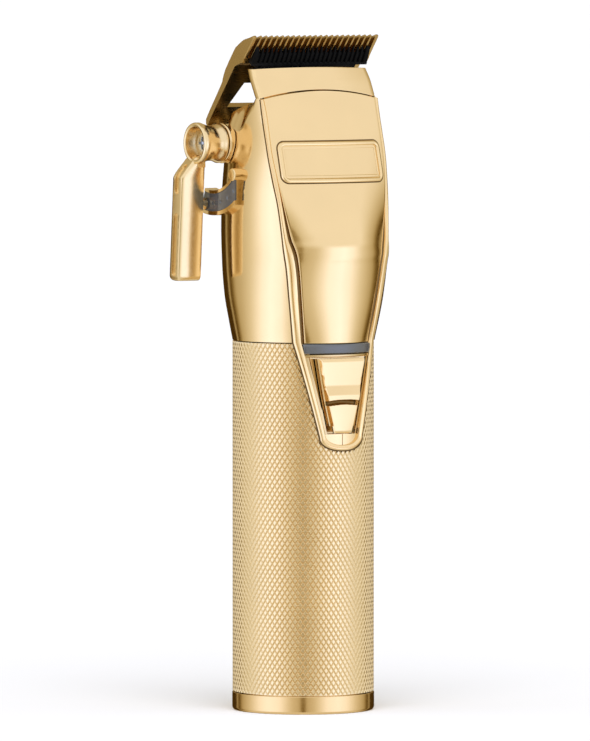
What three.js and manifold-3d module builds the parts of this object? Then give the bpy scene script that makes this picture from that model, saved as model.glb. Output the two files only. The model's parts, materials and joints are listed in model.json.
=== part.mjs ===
// Cordless hair clipper, standing on its end cap.
// Millimetres, +Z up along the barrel towards the blade. The switch and badge face -Y and the
// taper lever is on -X. The origin is the centre of the end cap's bottom face.

import * as THREE from 'three';
import { mergeVertices } from 'three/addons/utils/BufferGeometryUtils.js';
import Module from 'manifold-3d';

const wasm = await Module();
wasm.setup();

// ---------------------------------------------------------------- driving dimensions

const DEG = Math.PI / 180;
const GAP = 0.3;                 // air between neighbouring pieces
const WALL = 1.6;                // metal shells

const BARREL_R = 19;
const BARREL_WALL = 1.8;
const BARREL_BORE = BARREL_R - BARREL_WALL;
const CAP_TOP = 4.8;
const CAP_R = 19.1;
const HEAD_BASE = 99.6;          // joint between barrel and head
const BARREL_TOP = HEAD_BASE - GAP;

const BROW_Z = 124.6;            // step across the front cover
const BADGE_HALF = 16.4;
const BADGE_Z = [142.2, 153.2];
const COVER_SCREWS = [106, 146]; // heights of the two screws in the back
const SEAM_Z = 164.7;            // ends of the arched seam under the nose cap
const SEAM_RISE = 2.2;
const SEAM_HALF = 18.7;
const NOSE_TOP = 172.8;

const BLADE_TILT = 40;           // degrees between the blade plane and the barrel axis
const TIP_Y = -6.6;              // middle of the row of tooth tips
const TIP_Z = 181;
const BLADE_HALF = 20.3;
const BLADE_HEEL = 33;           // distance from tooth tips to heel
const BLADE_SCREW_X = 11;
const BLADE_SCREW_S = -29.8;
const FIXED_PITCH = 1.77;
const FIXED_SLOTS = 22;
const CUTTER_HALF = 18.6;
const CUTTER_BODY = 13.8;        // half width of the part behind the nose cap
const CUTTER_PITCH = 1.46;
const CUTTER_SLOTS = 24;
const STROKE = 1.3;              // cutter travel each side of the middle

const PIVOT_Y = 9.75;            // taper lever pivot
const PIVOT_Z = 152.5;
const LEVER_SWING = 50;
const TAPER_TRAVEL = 2.5;
const LEVER_LEAN = 0.067;        // how far the handle leans back for each millimetre down
const PIN_R = 1.5;               // pin on the lever shaft that moves the carriage
const PIN_THROW = TAPER_TRAVEL / 2 / Math.sin((LEVER_SWING / 2) * DEG);
const SECTOR_INNER = 12.7;
const SECTOR_OUTER = 19.4;
const SECTOR_FACE = 22.75;       // how far out of the side the detent sector reaches

const MOTOR_Y = 1;
const MOTOR_R = 12;
const MOTOR_BASE = 104;
const MOTOR_TOP = 134;
const BATTERY_R = 9.2;
const BATTERY_Y = 3.5;

// Front of the head, right-hand half, from the nose down to the barrel. Each station gives the
// frame's outer edge, the frame's inner edge and how far the cover stands out on the middle line.
const FRONT_STATIONS = [
  { z: 166, outer: [18.9, -7.0], inner: [18.3, -7.5], crown: -9.2 },
  { z: 160, outer: [18.9, -8.2], inner: [18.1, -9.3], crown: -11.0 },
  { z: 151, outer: [18.9, -10.6], inner: [18.2, -11.6], crown: -13.8 },
  { z: 142.8, outer: [18.4, -12.5], inner: [17.6, -13.7], crown: -16.6 },
  { z: 136, outer: [17.75, -14.1], inner: [16.9, -15.0], crown: -19.0 },
  { z: 129, outer: [17.2, -15.4], inner: [15.8, -16.3], crown: -21.5 },
  { z: BROW_Z, outer: [17.0, -15.9], inner: [14.9, -17.4], crown: -21.9 },
  { z: 122, outer: [16.6, -15.9], inner: [14.5, -17.4], crown: -21.2 },
  { z: 111, outer: [15.1, -15.5], inner: [12.9, -16.7], crown: -20.2 },
  { z: HEAD_BASE, outer: [13.1, -14.2], inner: [11.3, -15.7], crown: -19.4 },
];

// Head shell: half width, back depth and squareness of its section.
const SHELL_STATIONS = [
  { z: HEAD_BASE, half: 19.0, back: 19.0, power: 2.0 },
  { z: 105, half: 19.8, back: 19.6, power: 2.1 },
  { z: 112, half: 20.6, back: 20.2, power: 2.25 },
  { z: 120, half: 21.05, back: 20.3, power: 2.35 },
  { z: 130, half: 21.2, back: 20.4, power: 2.4 },
  { z: 139, half: 21.0, back: 20.2, power: 2.4 },
  { z: 147, half: 20.4, back: 19.8, power: 2.4 },
  { z: 156, half: 19.7, back: 19.0, power: 2.5 },
  { z: 166, half: 19.5, back: 17.6, power: 2.8 },
];

// Side view of the shell's upper edge, from the nose to the back.
const SHELL_TOP = [
  [-14, SEAM_Z], [-6, SEAM_Z], [-4.7, 162.8], [-1.8, 163.5], [1.5, 163.1],
  [5.4, 161.7], [8.8, 159.5], [13.2, 156.2], [24, 148.6],
];

// ---------------------------------------------------------------- materials

const polishedGold = metal(0xe6c68c, 0.12);
const knurledGold = metal(0xd2b071, 0.38);
const bladeGold = metal(0xb98d3e, 0.3);
const blackSteel = metal(0x101114, 0.35);
const steel = metal(0xb9bcc2, 0.25);
const copper = metal(0xb87a4b, 0.35);
const smokedPlastic = plastic(0x4d5358, 0.15);
const blackPlastic = plastic(0x1b1c1f, 0.5);
const greenBoard = plastic(0x1f5a3a, 0.45);
const batteryWrap = plastic(0x2c5f9e, 0.4);
const clearPlastic = plastic(0xdfe6ea, 0.2);

function metal(color, roughness) {
  return new THREE.MeshStandardMaterial({ color, roughness, metalness: 1 });
}

function plastic(color, roughness) {
  return new THREE.MeshStandardMaterial({ color, roughness, metalness: 0 });
}

// ---------------------------------------------------------------- solids

const BAND = 'band';

function solid(geometry) {
  const bare = geometry.index ? geometry.toNonIndexed() : geometry.clone();
  bare.deleteAttribute('normal');
  bare.deleteAttribute('uv');
  const merged = mergeVertices(bare, 1e-4);
  const mesh = new wasm.Mesh({
    numProp: 3,
    vertProperties: new Float32Array(merged.attributes.position.array),
    triVerts: new Uint32Array(merged.index.array),
  });
  return new wasm.Manifold(mesh);
}

function geometryOf(manifold) {
  const mesh = manifold.getMesh();
  const geometry = new THREE.BufferGeometry();
  geometry.setAttribute('position', new THREE.BufferAttribute(mesh.vertProperties, 3));
  geometry.setIndex(new THREE.BufferAttribute(mesh.triVerts, 1));
  geometry.computeVertexNormals();
  return geometry;
}

function box([x0, x1], [y0, y1], [z0, z1]) {
  const geometry = new THREE.BoxGeometry(x1 - x0, y1 - y0, z1 - z0);
  return solid(geometry.translate((x0 + x1) / 2, (y0 + y1) / 2, (z0 + z1) / 2));
}

// A turned piece about the z axis. The profile is [radius, z] points and closes on itself.
function turned(profile, segments = 24) {
  const points = profile.map(([r, z]) => new THREE.Vector2(Math.max(r, 0), z));
  const touchesAxis = profile.some(([r]) => r === 0);
  const outline = touchesAxis ? points : [...points, points[0].clone()];
  return upright(new THREE.LatheGeometry(outline, segments));
}

// Lathe geometry turns about y; this stands it up on z and makes it face outwards.
function upright(lathe) {
  return outward(lathe.rotateX(90 * DEG));
}

// Turns a closed surface the right way out when its rings were given in the other order.
function outward(geometry) {
  const shape = geometry.index ? geometry.toNonIndexed() : geometry;
  if (signedVolume(shape) > 0) return solid(shape);
  const position = shape.attributes.position;
  for (let i = 0; i < position.count; i += 3) {
    const a = new THREE.Vector3().fromBufferAttribute(position, i);
    const b = new THREE.Vector3().fromBufferAttribute(position, i + 1);
    position.setXYZ(i, b.x, b.y, b.z);
    position.setXYZ(i + 1, a.x, a.y, a.z);
  }
  return solid(shape);
}

function signedVolume(geometry) {
  const position = geometry.attributes.position;
  let total = 0;
  for (let i = 0; i < position.count; i += 3) {
    const a = new THREE.Vector3().fromBufferAttribute(position, i);
    const b = new THREE.Vector3().fromBufferAttribute(position, i + 1);
    const c = new THREE.Vector3().fromBufferAttribute(position, i + 2);
    total += a.dot(b.cross(c)) / 6;
  }
  return total;
}

function disc(radius, z0, z1, segments = 24) {
  return turned([[0, z0], [radius, z0], [radius, z1], [0, z1]], segments);
}

function tube(inner, outer, z0, z1, segments = 24) {
  return turned([[inner, z0], [outer, z0], [outer, z1], [inner, z1]], segments);
}

// A skin through rings of equal length, closed by a lid at each end. Flat lids are laid out on
// the plane that the two chosen axes name. A band, which runs out along one row of points and
// back along another, takes rungs from row to row, so its ends may be arched.
function loft(rings, axes = ['x', 'y']) {
  const count = rings[0].length;
  const points = [];
  const triangle = (a, b, c) => points.push(a, b, c);
  for (let k = 0; k + 1 < rings.length; k += 1) {
    for (let i = 0; i < count; i += 1) {
      const j = (i + 1) % count;
      triangle(rings[k][i], rings[k][j], rings[k + 1][j]);
      triangle(rings[k][i], rings[k + 1][j], rings[k + 1][i]);
    }
  }
  lid(rings[0], axes).forEach(([a, b, c]) => triangle(rings[0][a], rings[0][c], rings[0][b]));
  const last = rings[rings.length - 1];
  lid(last, axes).forEach(([a, b, c]) => triangle(last[a], last[b], last[c]));
  return outward(new THREE.BufferGeometry().setFromPoints(points));
}

function lid(ring, axes) {
  if (axes === BAND) return rungs(ring.length);
  const [u, v] = axes;
  const flat = ring.map((p) => new THREE.Vector2(p[u], p[v]));
  const clockwise = THREE.ShapeUtils.isClockWise(flat);
  const order = ring.map((_, i) => (clockwise ? ring.length - 1 - i : i));
  const faces = THREE.ShapeUtils.triangulateShape(order.map((i) => flat[i]), []);
  return faces.map(([a, b, c]) => {
    const face = [order[a], order[b], order[c]];
    return clockwise ? [face[0], face[2], face[1]] : face;
  });
}

function rungs(count) {
  return Array.from({ length: count / 2 - 1 }, (_, i) => [
    [i, i + 1, count - 2 - i], [i, count - 2 - i, count - 1 - i],
  ]).flat();
}

// A flat outline of [y, z] points carried along x.
function slab(outline, [x0, x1]) {
  const ring = (x) => outline.map(([y, z]) => new THREE.Vector3(x, y, z));
  return loft([ring(x0), ring(x1)], ['y', 'z']);
}

// A flat outline of [x, z] points carried along y.
function panel(outline, [y0, y1]) {
  const ring = (y) => outline.map(([x, z]) => new THREE.Vector3(x, y, z));
  return loft([ring(y0), ring(y1)], ['x', 'z']);
}

function roundedRectangle(halfWidth, z0, z1, radius, steps = 4) {
  const corners = [
    [halfWidth - radius, z1 - radius, 0], [-halfWidth + radius, z1 - radius, 90],
    [-halfWidth + radius, z0 + radius, 180], [halfWidth - radius, z0 + radius, 270],
  ];
  return corners.flatMap(([x, z, start]) => Array.from({ length: steps + 1 }, (_, i) => {
    const angle = (start + (90 * i) / steps) * DEG;
    return [x + radius * Math.cos(angle), z + radius * Math.sin(angle)];
  }));
}

function joined(...solids) {
  return solids.reduce((whole, next) => whole.add(next));
}

// ---------------------------------------------------------------- head surfaces

const mix = THREE.MathUtils.lerp;

// The value of one measure between the two stations around z.
function between(stations, z, measure) {
  const sorted = [...stations].sort((a, b) => a.z - b.z);
  const clamped = THREE.MathUtils.clamp(z, sorted[0].z, sorted[sorted.length - 1].z);
  const i = Math.max(1, sorted.findIndex((station) => station.z >= clamped));
  const t = (clamped - sorted[i - 1].z) / (sorted[i].z - sorted[i - 1].z);
  return mix(measure(sorted[i - 1]), measure(sorted[i]), t);
}

function frontEdge(z, edge) {
  return [
    between(FRONT_STATIONS, z, (station) => station[edge][0]),
    between(FRONT_STATIONS, z, (station) => station[edge][1]),
  ];
}

// Front surface of the cover at height z, where the frame's inner edge meets it.
function coverFront(x, z) {
  const [edgeX, edgeY] = frontEdge(z, 'inner');
  const crown = between(FRONT_STATIONS, z, (station) => station.crown);
  return mix(crown, edgeY, Math.min(1, (x / edgeX) ** 2));
}

// Head section at height z, from the right front corner round the back to the left one.
function shellArc(z, inset, steps = 32) {
  const half = between(SHELL_STATIONS, z, (station) => station.half);
  const back = between(SHELL_STATIONS, z, (station) => station.back);
  const power = between(SHELL_STATIONS, z, (station) => station.power);
  const [cornerX, cornerY] = frontEdge(z, 'outer');
  const front = -cornerY / (1 - (cornerX / half) ** power) ** (1 / power);
  const reach = Math.acos((cornerX / half) ** (power / 2));
  return Array.from({ length: steps + 1 }, (_, i) => {
    const angle = mix(-reach, Math.PI + reach, i / steps);
    const c = Math.cos(angle);
    const s = Math.sin(angle);
    const depth = s > 0 ? back : front;
    return new THREE.Vector3(
      (half - inset) * Math.sign(c) * Math.abs(c) ** (2 / power),
      (depth - inset) * Math.sign(s) * Math.abs(s) ** (2 / power),
      z,
    );
  });
}

const shellLevels = [HEAD_BASE, 104, 109, 115, 122, 130, 139, 147, 156, 166];

function shellSkin() {
  return loft(shellLevels.map((z) => [...shellArc(z, 0), ...shellArc(z, WALL).reverse()]), BAND);
}

// The head filled in and grown by the given amount, for clearing pieces that stand beside it.
function shellCore(grow) {
  return loft(shellLevels.map((z) => shellArc(z, -grow)));
}

function shellTopCut() {
  return slab([...SHELL_TOP, [24, 200], [-14, 200]], [-30, 30]);
}

// ---------------------------------------------------------------- shield frame

// Points down the right rail and round the V, as [outer point, inner point, towards the inside].
function framePath() {
  const rail = FRONT_STATIONS.filter(({ z }) => z > HEAD_BASE).map(({ z, outer, inner }) => {
    const across = new THREE.Vector2(inner[0] - outer[0], inner[1] - outer[1]).normalize();
    return {
      outer: new THREE.Vector3(outer[0], outer[1], Math.min(z, SEAM_Z - GAP)),
      inner: new THREE.Vector3(inner[0], inner[1], Math.min(z, SEAM_Z - GAP)),
      inward: new THREE.Vector3(across.y, -across.x, 0),
    };
  });
  const wrap = (halfWidth, z) => {
    const radius = BARREL_R + 0.35;
    return new THREE.Vector3(halfWidth, -Math.sqrt(radius ** 2 - halfWidth ** 2), z);
  };
  const onBarrel = (outer, inner) => ({
    outer,
    inner,
    inward: new THREE.Vector3(-outer.x, -outer.y, 0).normalize(),
  });
  const sides = [[13.0, HEAD_BASE, 11.3], [9.9, 86.5, 8.3]]
    .map(([wide, z, narrow]) => onBarrel(wrap(wide, z), wrap(narrow, z)));
  const bottom = Array.from({ length: 6 }, (_, i) => {
    const angle = (i / 5) * 90 * DEG;
    return onBarrel(
      wrap(6.9 * Math.cos(angle), 74 - 3.5 * Math.sin(angle)),
      wrap(5.4 * Math.cos(angle), 75 - 2.9 * Math.sin(angle)),
    );
  });
  return [...rail, ...sides, ...bottom];
}

function frontFrame(grow) {
  const half = framePath().map(({ outer, inner, inward }) => {
    const across = inner.clone().sub(outer).normalize();
    const rise = 0.35 + grow;
    const at = (point, alongWidth, depth) => point.clone()
      .addScaledVector(across, alongWidth)
      .addScaledVector(inward, depth);
    const middle = outer.clone().lerp(inner, 0.45);
    return [
      at(outer, -grow, -grow), at(middle, 0, -rise), at(inner, grow, -grow),
      at(inner, grow, 1.5 + grow), at(outer, 0.5 - grow, 1.5 + grow),
    ];
  });
  const mirrored = half.slice(0, -1).reverse()
    .map((ring) => ring.map((p) => new THREE.Vector3(-p.x, p.y, p.z)));
  return loft([...half, ...mirrored], ['x', 'y']);
}

// The shield outline, wide enough to clear the frame, for cutting the barrel.
function barrelWindow() {
  const half = framePath().filter(({ outer }) => outer.z <= HEAD_BASE)
    .map(({ outer }) => [outer.x + GAP, outer.z - (outer.z < 74 ? GAP : 0)]);
  const left = half.slice(0, -1).reverse().map(([x, z]) => [-x, z]);
  const top = HEAD_BASE + 5;
  return panel([[half[0][0] + 1, top], ...half, ...left, [-half[0][0] - 1, top]], [-30, -5]);
}

// ---------------------------------------------------------------- assembly

const clipper = new THREE.Group();

// Blade frame: local z points at the tooth tips and local y away from the cutter.
const bladeFrame = new THREE.Group();
bladeFrame.position.set(0, TIP_Y, TIP_Z);
bladeFrame.rotation.x = BLADE_TILT * DEG;
clipper.add(bladeFrame);

// Lever frame: local z points out of the side along the pivot, local x to the front.
const leverFrame = new THREE.Group();
leverFrame.position.set(0, PIVOT_Y, PIVOT_Z);
leverFrame.rotation.set(0, -90 * DEG, 0);
clipper.add(leverFrame);

// The pivot as the blade frame sees it.
const leverLocal = (() => {
  const dy = PIVOT_Y - TIP_Y;
  const dz = PIVOT_Z - TIP_Z;
  const c = Math.cos(BLADE_TILT * DEG);
  const s = Math.sin(BLADE_TILT * DEG);
  return { y: c * dy + s * dz, z: -s * dy + c * dz };
})();

function add(name, material, shape, parent = clipper) {
  const mesh = new THREE.Mesh(geometryOf(shape), material);
  mesh.name = name;
  parent.add(mesh);
  return mesh;
}

function addBase() {
  const jackY = 9.5;
  const contactX = 8.5;
  const screwX = 12.5;
  const jackHole = disc(3.4, -1, 12).translate([0, jackY, 0]);
  const contactHole = box([-1.8, 1.8], [-3, 3], [-1, 12]);
  const screwHole = turned([[0, -1], [2.8, -1], [2.8, 1.2], [1.5, 2.4], [1.5, 12], [0, 12]], 20);
  const cap = turned([
    [0, 0], [CAP_R - 0.8, 0], [CAP_R - 0.25, 0.25], [CAP_R, 0.8], [CAP_R, CAP_TOP],
    [BARREL_BORE - GAP, CAP_TOP], [BARREL_BORE - GAP, 8], [0, 8],
  ], 56);
  add('end_cap', polishedGold, cap
    .subtract(jackHole)
    .subtract(contactHole.translate([contactX, -8, 0]))
    .subtract(contactHole.translate([-contactX, -8, 0]))
    .subtract(screwHole.translate([screwX, 5, 0]))
    .subtract(screwHole.translate([-screwX, 5, 0])));
  const jackBody = turned([
    [2.7, 0.4], [3.1, 0.4], [3.1, 12], [1.6, 12], [1.6, 9.5], [2.7, 9.5],
  ], 24);
  add('charge_jack', blackPlastic, jackBody.translate([0, jackY, 0]));
  add('jack_pin', steel, turned([[0, 1.5], [0.9, 1.5], [0.9, 13], [0, 13]], 16)
    .translate([0, jackY, 0]));
  [['left', -contactX], ['right', contactX]].forEach(([side, x]) => {
    const contact = box([-1.5, 1.5], [-2.7, 2.7], [0.3, 9]);
    add(`charge_contact_${side}`, steel, contact.translate([x, -8, 0]));
  });
  [['left', -screwX], ['right', screwX]].forEach(([side, x]) => {
    const screw = turned([[0, 0.2], [2.5, 0.2], [2.5, 1], [1.2, 2.4], [1.2, 10], [0, 10]], 20);
    const driveSlot = box([-0.35, 0.35], [-1.8, 1.8], [-1, 0.8]);
    add(`cap_screw_${side}`, steel, screw.subtract(driveSlot).translate([x, 5, 0]));
  });
}

function addBarrel() {
  const barrel = tube(BARREL_BORE, BARREL_R, CAP_TOP + GAP, BARREL_TOP, 64);
  add('grip_barrel', knurledGold, barrel.subtract(barrelWindow()));
}

function addPowerTrain() {
  const cell = turned([
    [0, 20], [BATTERY_R, 20], [BATTERY_R, 83], [3, 83], [3, 84.2], [0, 84.2],
  ], 32);
  add('battery_cell', batteryWrap, cell.translate([0, BATTERY_Y, 0]));
  const cradle = tube(BATTERY_R + GAP, BATTERY_R + 1.8, 14, 90, 32)
    .subtract(box([-20, 20], [-20, -1], [0, 100]))
    .translate([0, BATTERY_Y, 0]);
  add('battery_tray', blackPlastic, cradle);
  [['lower', 18.6, 19.6], ['upper', 84.6, 85.6]].forEach(([place, z0, z1]) => {
    add(`battery_tab_${place}`, steel, box([-3, 3], [BATTERY_Y - 12, BATTERY_Y + 7], [z0, z1]));
  });
  add('circuit_board', greenBoard, box([-10, 10], [-10.6, -9.2], [40, 99]));
  add('micro_switch', blackPlastic, box([-3.5, 3.5], [-13.2, -10.9], [81, 89]));
  add('indicator_led', clearPlastic, box([-1.5, 1.5], [-13.5, -10.9], [96.9, 98.9]));
}

function addMotor() {
  const place = (shape) => shape.translate([0, MOTOR_Y, 0]);
  add('motor_can', steel, place(turned([
    [MOTOR_R - 0.8, MOTOR_BASE], [MOTOR_R, MOTOR_BASE], [MOTOR_R, MOTOR_TOP],
    [2.5, MOTOR_TOP], [2.5, MOTOR_TOP - 1], [MOTOR_R - 0.8, MOTOR_TOP - 1],
  ])));
  add('stator_ring', copper, place(tube(8.4, MOTOR_R - 1.1, MOTOR_BASE + 3, MOTOR_TOP - 4)));
  const endPlate = tube(1.5, MOTOR_R, MOTOR_BASE - 2.3, MOTOR_BASE - GAP);
  add('motor_end_plate', blackPlastic, place(endPlate));
  add('motor_shaft', steel, place(turned([
    [0, 100.5], [1.2, 100.5], [1.2, 107.2], [7.9, 107.2], [7.9, 128.5], [1.2, 128.5],
    [1.2, 141], [0, 141],
  ], 24)));
  const bracketPlan = box([-16, 16], [-8, 8], [MOTOR_TOP + GAP, MOTOR_TOP + 2.3])
    .subtract(disc(4.3, MOTOR_TOP, MOTOR_TOP + 3));
  const screwHole = disc(1.3, MOTOR_TOP, MOTOR_TOP + 3, 16);
  add('motor_bracket', steel, place(bracketPlan
    .subtract(screwHole.translate([13.5, 0, 0]))
    .subtract(screwHole.translate([-13.5, 0, 0]))));
  [['left', -13.5], ['right', 13.5]].forEach(([side, x]) => {
    const screw = turned([
      [0, 130], [1, 130], [1, MOTOR_TOP + 2.6], [2.2, MOTOR_TOP + 2.6], [2.2, 138], [0, 138],
    ], 16);
    add(`bracket_screw_${side}`, steel, place(screw.translate([x, 0, 0])));
  });
  add('motor_bearing', steel, place(tube(1.5, 4, MOTOR_TOP + GAP, MOTOR_TOP + 3.5)));
}

function addCrank() {
  const pinZ = 151.5;
  const crank = turned([[1.5, 139], [5.2, 139], [5.2, 142.6], [1.5, 142.6]], 28)
    .add(disc(4, 141.4, 143.4))
    .add(disc(1.5, 142, pinZ, 20).translate([0, STROKE, 0]));
  add('eccentric_crank', steel, crank.translate([0, MOTOR_Y, 0]));
  const sleeve = tube(1.7, 2.3, 144.5, pinZ - 0.5, 24);
  add('crank_sleeve', copper, sleeve.translate([0, MOTOR_Y + STROKE, 0]));
}

function addHead() {
  const clearOfFrame = frontFrame(GAP);
  const shaftHole = disc(3.4, 10, 30).rotate([0, -90, 0]).translate([0, PIVOT_Y, PIVOT_Z]);
  const screwHole = disc(2.6, 10, 30).rotate([-90, 0, 0]);
  const shell = shellSkin()
    .subtract(clearOfFrame)
    .subtract(shellTopCut())
    .subtract(shaftHole)
    .subtract(screwHole.translate([0, 0, COVER_SCREWS[0]]))
    .subtract(screwHole.translate([0, 0, COVER_SCREWS[1]]));
  add('head_housing', polishedGold, shell);
  add('front_frame', polishedGold, frontFrame(0));
  [['lower', COVER_SCREWS[0], 19.3], ['upper', COVER_SCREWS[1], 19.6]].forEach(([place, z, face]) => {
    const screw = turned([
      [0, -5], [1.2, -5], [1.2, -1.6], [2.2, -1.3], [2.2, 0], [0, 0],
    ], 20);
    const drive = crossDrive(1.4, 0.3, [-0.8, 1]);
    const turnedOut = screw.subtract(drive).rotate([-90, 0, 0]).translate([0, face, z]);
    add(`cover_screw_${place}`, steel, turnedOut);
  });
}

// A cross for a screwdriver, as two crossed bars.
function crossDrive(reach, halfWidth, [z0, z1]) {
  return box([-reach, reach], [-halfWidth, halfWidth], [z0, z1])
    .add(box([-halfWidth, halfWidth], [-reach, reach], [z0, z1]));
}

function seamRise(x) {
  return SEAM_RISE * (1 - (x / SEAM_HALF) ** 2);
}

// One layer of the front, between two depths behind its surface.
function frontLayer(levels, shallow, deep, seam, narrow = 0.2) {
  const steps = 14;
  return loft(levels.map((z) => {
    const [edgeX] = frontEdge(z, 'inner');
    const lift = (x) => (z === seam ? seamRise(x) : 0);
    const row = (depth, inset) => Array.from({ length: steps + 1 }, (_, i) => {
      const x = mix(-1, 1, i / steps) * (edgeX - inset);
      const height = z + lift(x);
      return new THREE.Vector3(x, coverFront(x, height) + depth, height);
    });
    return [...row(shallow, narrow), ...row(deep, narrow + 1).reverse()];
  }), BAND);
}

const coverLevels = [HEAD_BASE, 104, 111, 117, 122, BROW_Z, 129, 136, 142.8, 151, 160, SEAM_Z - GAP];

function badgeOutline(grow) {
  return panel(roundedRectangle(
    BADGE_HALF + grow,
    BADGE_Z[0] - grow,
    BADGE_Z[1] + grow,
    2 + grow,
  ), [-40, 5]);
}

function addFront() {
  const cover = frontLayer(coverLevels, 0, WALL, SEAM_Z - GAP)
    .subtract(frontFrame(GAP))
    .subtract(badgeOutline(GAP).intersect(frontLayer([136, 142.8, 151, 160], -2, 0.9)));
  add('front_cover', polishedGold, cover);
  const rimmed = badgeOutline(0).intersect(frontLayer([136, 142.8, 151, 160], -0.35, 0.6));
  const field = badgeOutline(-1.4).intersect(frontLayer([136, 142.8, 151, 160], -2, 0));
  add('badge_plate', polishedGold, rimmed.subtract(field));
  addNose();
  const ring = tube(BARREL_R - 1.4, BARREL_R + 0.2, 96.5, 99.2, 96);
  add('light_strip', smokedPlastic, ring.intersect(panel(
    [[-10.4, 96.5], [10.4, 96.5], [10.8, 99.2], [-10.8, 99.2]], [-30, -10]))
    .subtract(frontFrame(GAP)));
}

// Thin cap over the front of the blade: a crowned face with short returns at the sides.
function addNose() {
  const steps = 14;
  const level = (z, half, edgeY, crown, seam) => {
    const rise = (x) => (seam ? seamRise(x) : 0.4 * (1 - (x / half) ** 2));
    const lean = (x) => 0.5 * rise(x);
    const face = (inset) => Array.from({ length: steps + 1 }, (_, i) => {
      const x = mix(-1, 1, i / steps) * (half - inset);
      const y = mix(crown, edgeY, (x / half) ** 2) + inset + lean(x);
      return new THREE.Vector3(x, y, z + rise(x));
    });
    const returns = 2.4;
    const corner = (x, y) => new THREE.Vector3(x, y, z);
    return [
      corner(-half, edgeY + returns), ...face(0), corner(half, edgeY + returns),
      corner(half - 1, edgeY + returns), ...face(1).reverse(), corner(-half + 1, edgeY + returns),
    ];
  };
  add('nose_cap', polishedGold, loft([
    level(SEAM_Z, SEAM_HALF, -7.3, -9.0, true),
    level(168.8, 18.8, -5.2, -6.8, false),
    level(NOSE_TOP - 0.4, 18.4, -3.2, -4.7, false),
  ], BAND));
}

function addSwitch() {
  const bedOutline = [
    [-10.2, 95.4], [-4.6, 74.6], [-2.6, 73], [2.6, 73], [4.6, 74.6], [10.2, 95.4],
  ];
  const stemSlot = box([-2, 2], [-20, -10], [81.6, 88.6]);
  add('switch_bed', polishedGold, panel(bedOutline, [-16.2, -14.8])
    .subtract(stemSlot)
    .subtract(frontFrame(GAP)));
  const section = (z, crest, foot, face) => [
    [-foot, -16.6], [-foot, -17.1], [-crest, face], [0, face - 0.15], [crest, face],
    [foot, -17.1], [foot, -16.6],
  ].map(([x, y]) => new THREE.Vector3(x, y, z));
  add('power_slider', polishedGold, loft([
    section(75.3, 2.6, 3.7, -18.9),
    section(76, 2.8, 4.0, -19.3),
    section(82.6, 4.4, 5.6, -19.3),
    section(82.9, 4.5, 5.7, -18.2),
    section(83.9, 4.7, 5.9, -18.2),
    section(84.2, 4.8, 6.0, -19.7),
    section(86.5, 5.2, 6.6, -19.4),
    section(88.3, 5.6, 7.0, -18.9),
    section(94.6, 6.9, 8.3, -19.3),
    section(95.2, 6.8, 8.3, -18.9),
  ]));
  add('slider_stem', blackPlastic, box([-1.5, 1.5], [-16.3, -13.6], [84.2, 87.9]));
}

function addBlade() {
  const thickness = [
    [0, 0.7], [1.5, 1.7], [4.6, 3.9], [8.8, 5.1], [15, 5.0], [18.5, 4.3], [19, 4.0],
    [BLADE_HEEL - 1, 3.5], [BLADE_HEEL, 2.6],
  ];
  const outline = [[0, 0], ...thickness.map(([s, t]) => [t, -s]), [0, -BLADE_HEEL]];
  let blade = slab(outline, [-BLADE_HALF, BLADE_HALF]);
  for (let i = 0; i < FIXED_SLOTS; i += 1) {
    const x = (i - (FIXED_SLOTS - 1) / 2) * FIXED_PITCH;
    blade = blade.subtract(box([x - 0.5, x + 0.5], [-1, 7], [-7.5, 1]));
  }
  const window = panel([[3.5, -18], [14.6, -18], [16.6, -26.5], [3.5, -26.5]], [-1, 8]);
  const screwHole = turned([[0, -2], [1.6, -2], [1.6, 2], [2.9, 2], [2.9, 8], [0, 8]], 20)
    .rotate([-90, 0, 0]);
  blade = blade.subtract(window).subtract(window.mirror([1, 0, 0]))
    .subtract(screwHole.translate([BLADE_SCREW_X, 0, BLADE_SCREW_S]))
    .subtract(screwHole.translate([-BLADE_SCREW_X, 0, BLADE_SCREW_S]));
  add('fixed_blade', bladeGold, blade, bladeFrame);
  const mountHole = disc(1.6, -5, 1, 16).rotate([-90, 0, 0]);
  const shaftRelief = box([-18, -13.6], [-4, -1.2], [-40, -20]);
  const insideShell = shellCore(-WALL - GAP)
    .translate([0, -TIP_Y, -TIP_Z])
    .rotate([-BLADE_TILT, 0, 0]);
  const mount = box([-17, 17], [-3, -GAP], [-33.4, -27.4])
    .intersect(insideShell)
    .subtract(shaftRelief)
    .subtract(mountHole.translate([BLADE_SCREW_X, 0, BLADE_SCREW_S]))
    .subtract(mountHole.translate([-BLADE_SCREW_X, 0, BLADE_SCREW_S]));
  add('blade_mount', steel, mount, bladeFrame);
  [['left', -BLADE_SCREW_X], ['right', BLADE_SCREW_X]].forEach(([side, x]) => {
    const screw = turned([
      [0, -2.8], [1.3, -2.8], [1.3, 2.3], [2.5, 2.3], [2.5, 3.9], [0, 3.9],
    ], 20).subtract(crossDrive(1.7, 0.35, [3, 5]));
    const placed = screw.rotate([-90, 0, 0]).translate([x, 0, BLADE_SCREW_S]);
    add(`blade_screw_${side}`, steel, placed, bladeFrame);
  });
}

function addCutter() {
  const comb = slab([[-0.25, -3.3], [-0.9, -2.8], [-2.15, -8.1], [-0.25, -8.1]],
    [-CUTTER_HALF, CUTTER_HALF]);
  let cutter = comb.add(box([-CUTTER_BODY, CUTTER_BODY], [-1.4, -0.25], [-16.5, -8]));
  for (let i = 0; i < CUTTER_SLOTS; i += 1) {
    const x = (i - (CUTTER_SLOTS - 1) / 2) * CUTTER_PITCH;
    cutter = cutter.subtract(box([x - 0.35, x + 0.35], [-4, 1], [-7.4, 0]));
  }
  add('moving_cutter', blackSteel, cutter, bladeFrame);
}

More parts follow.
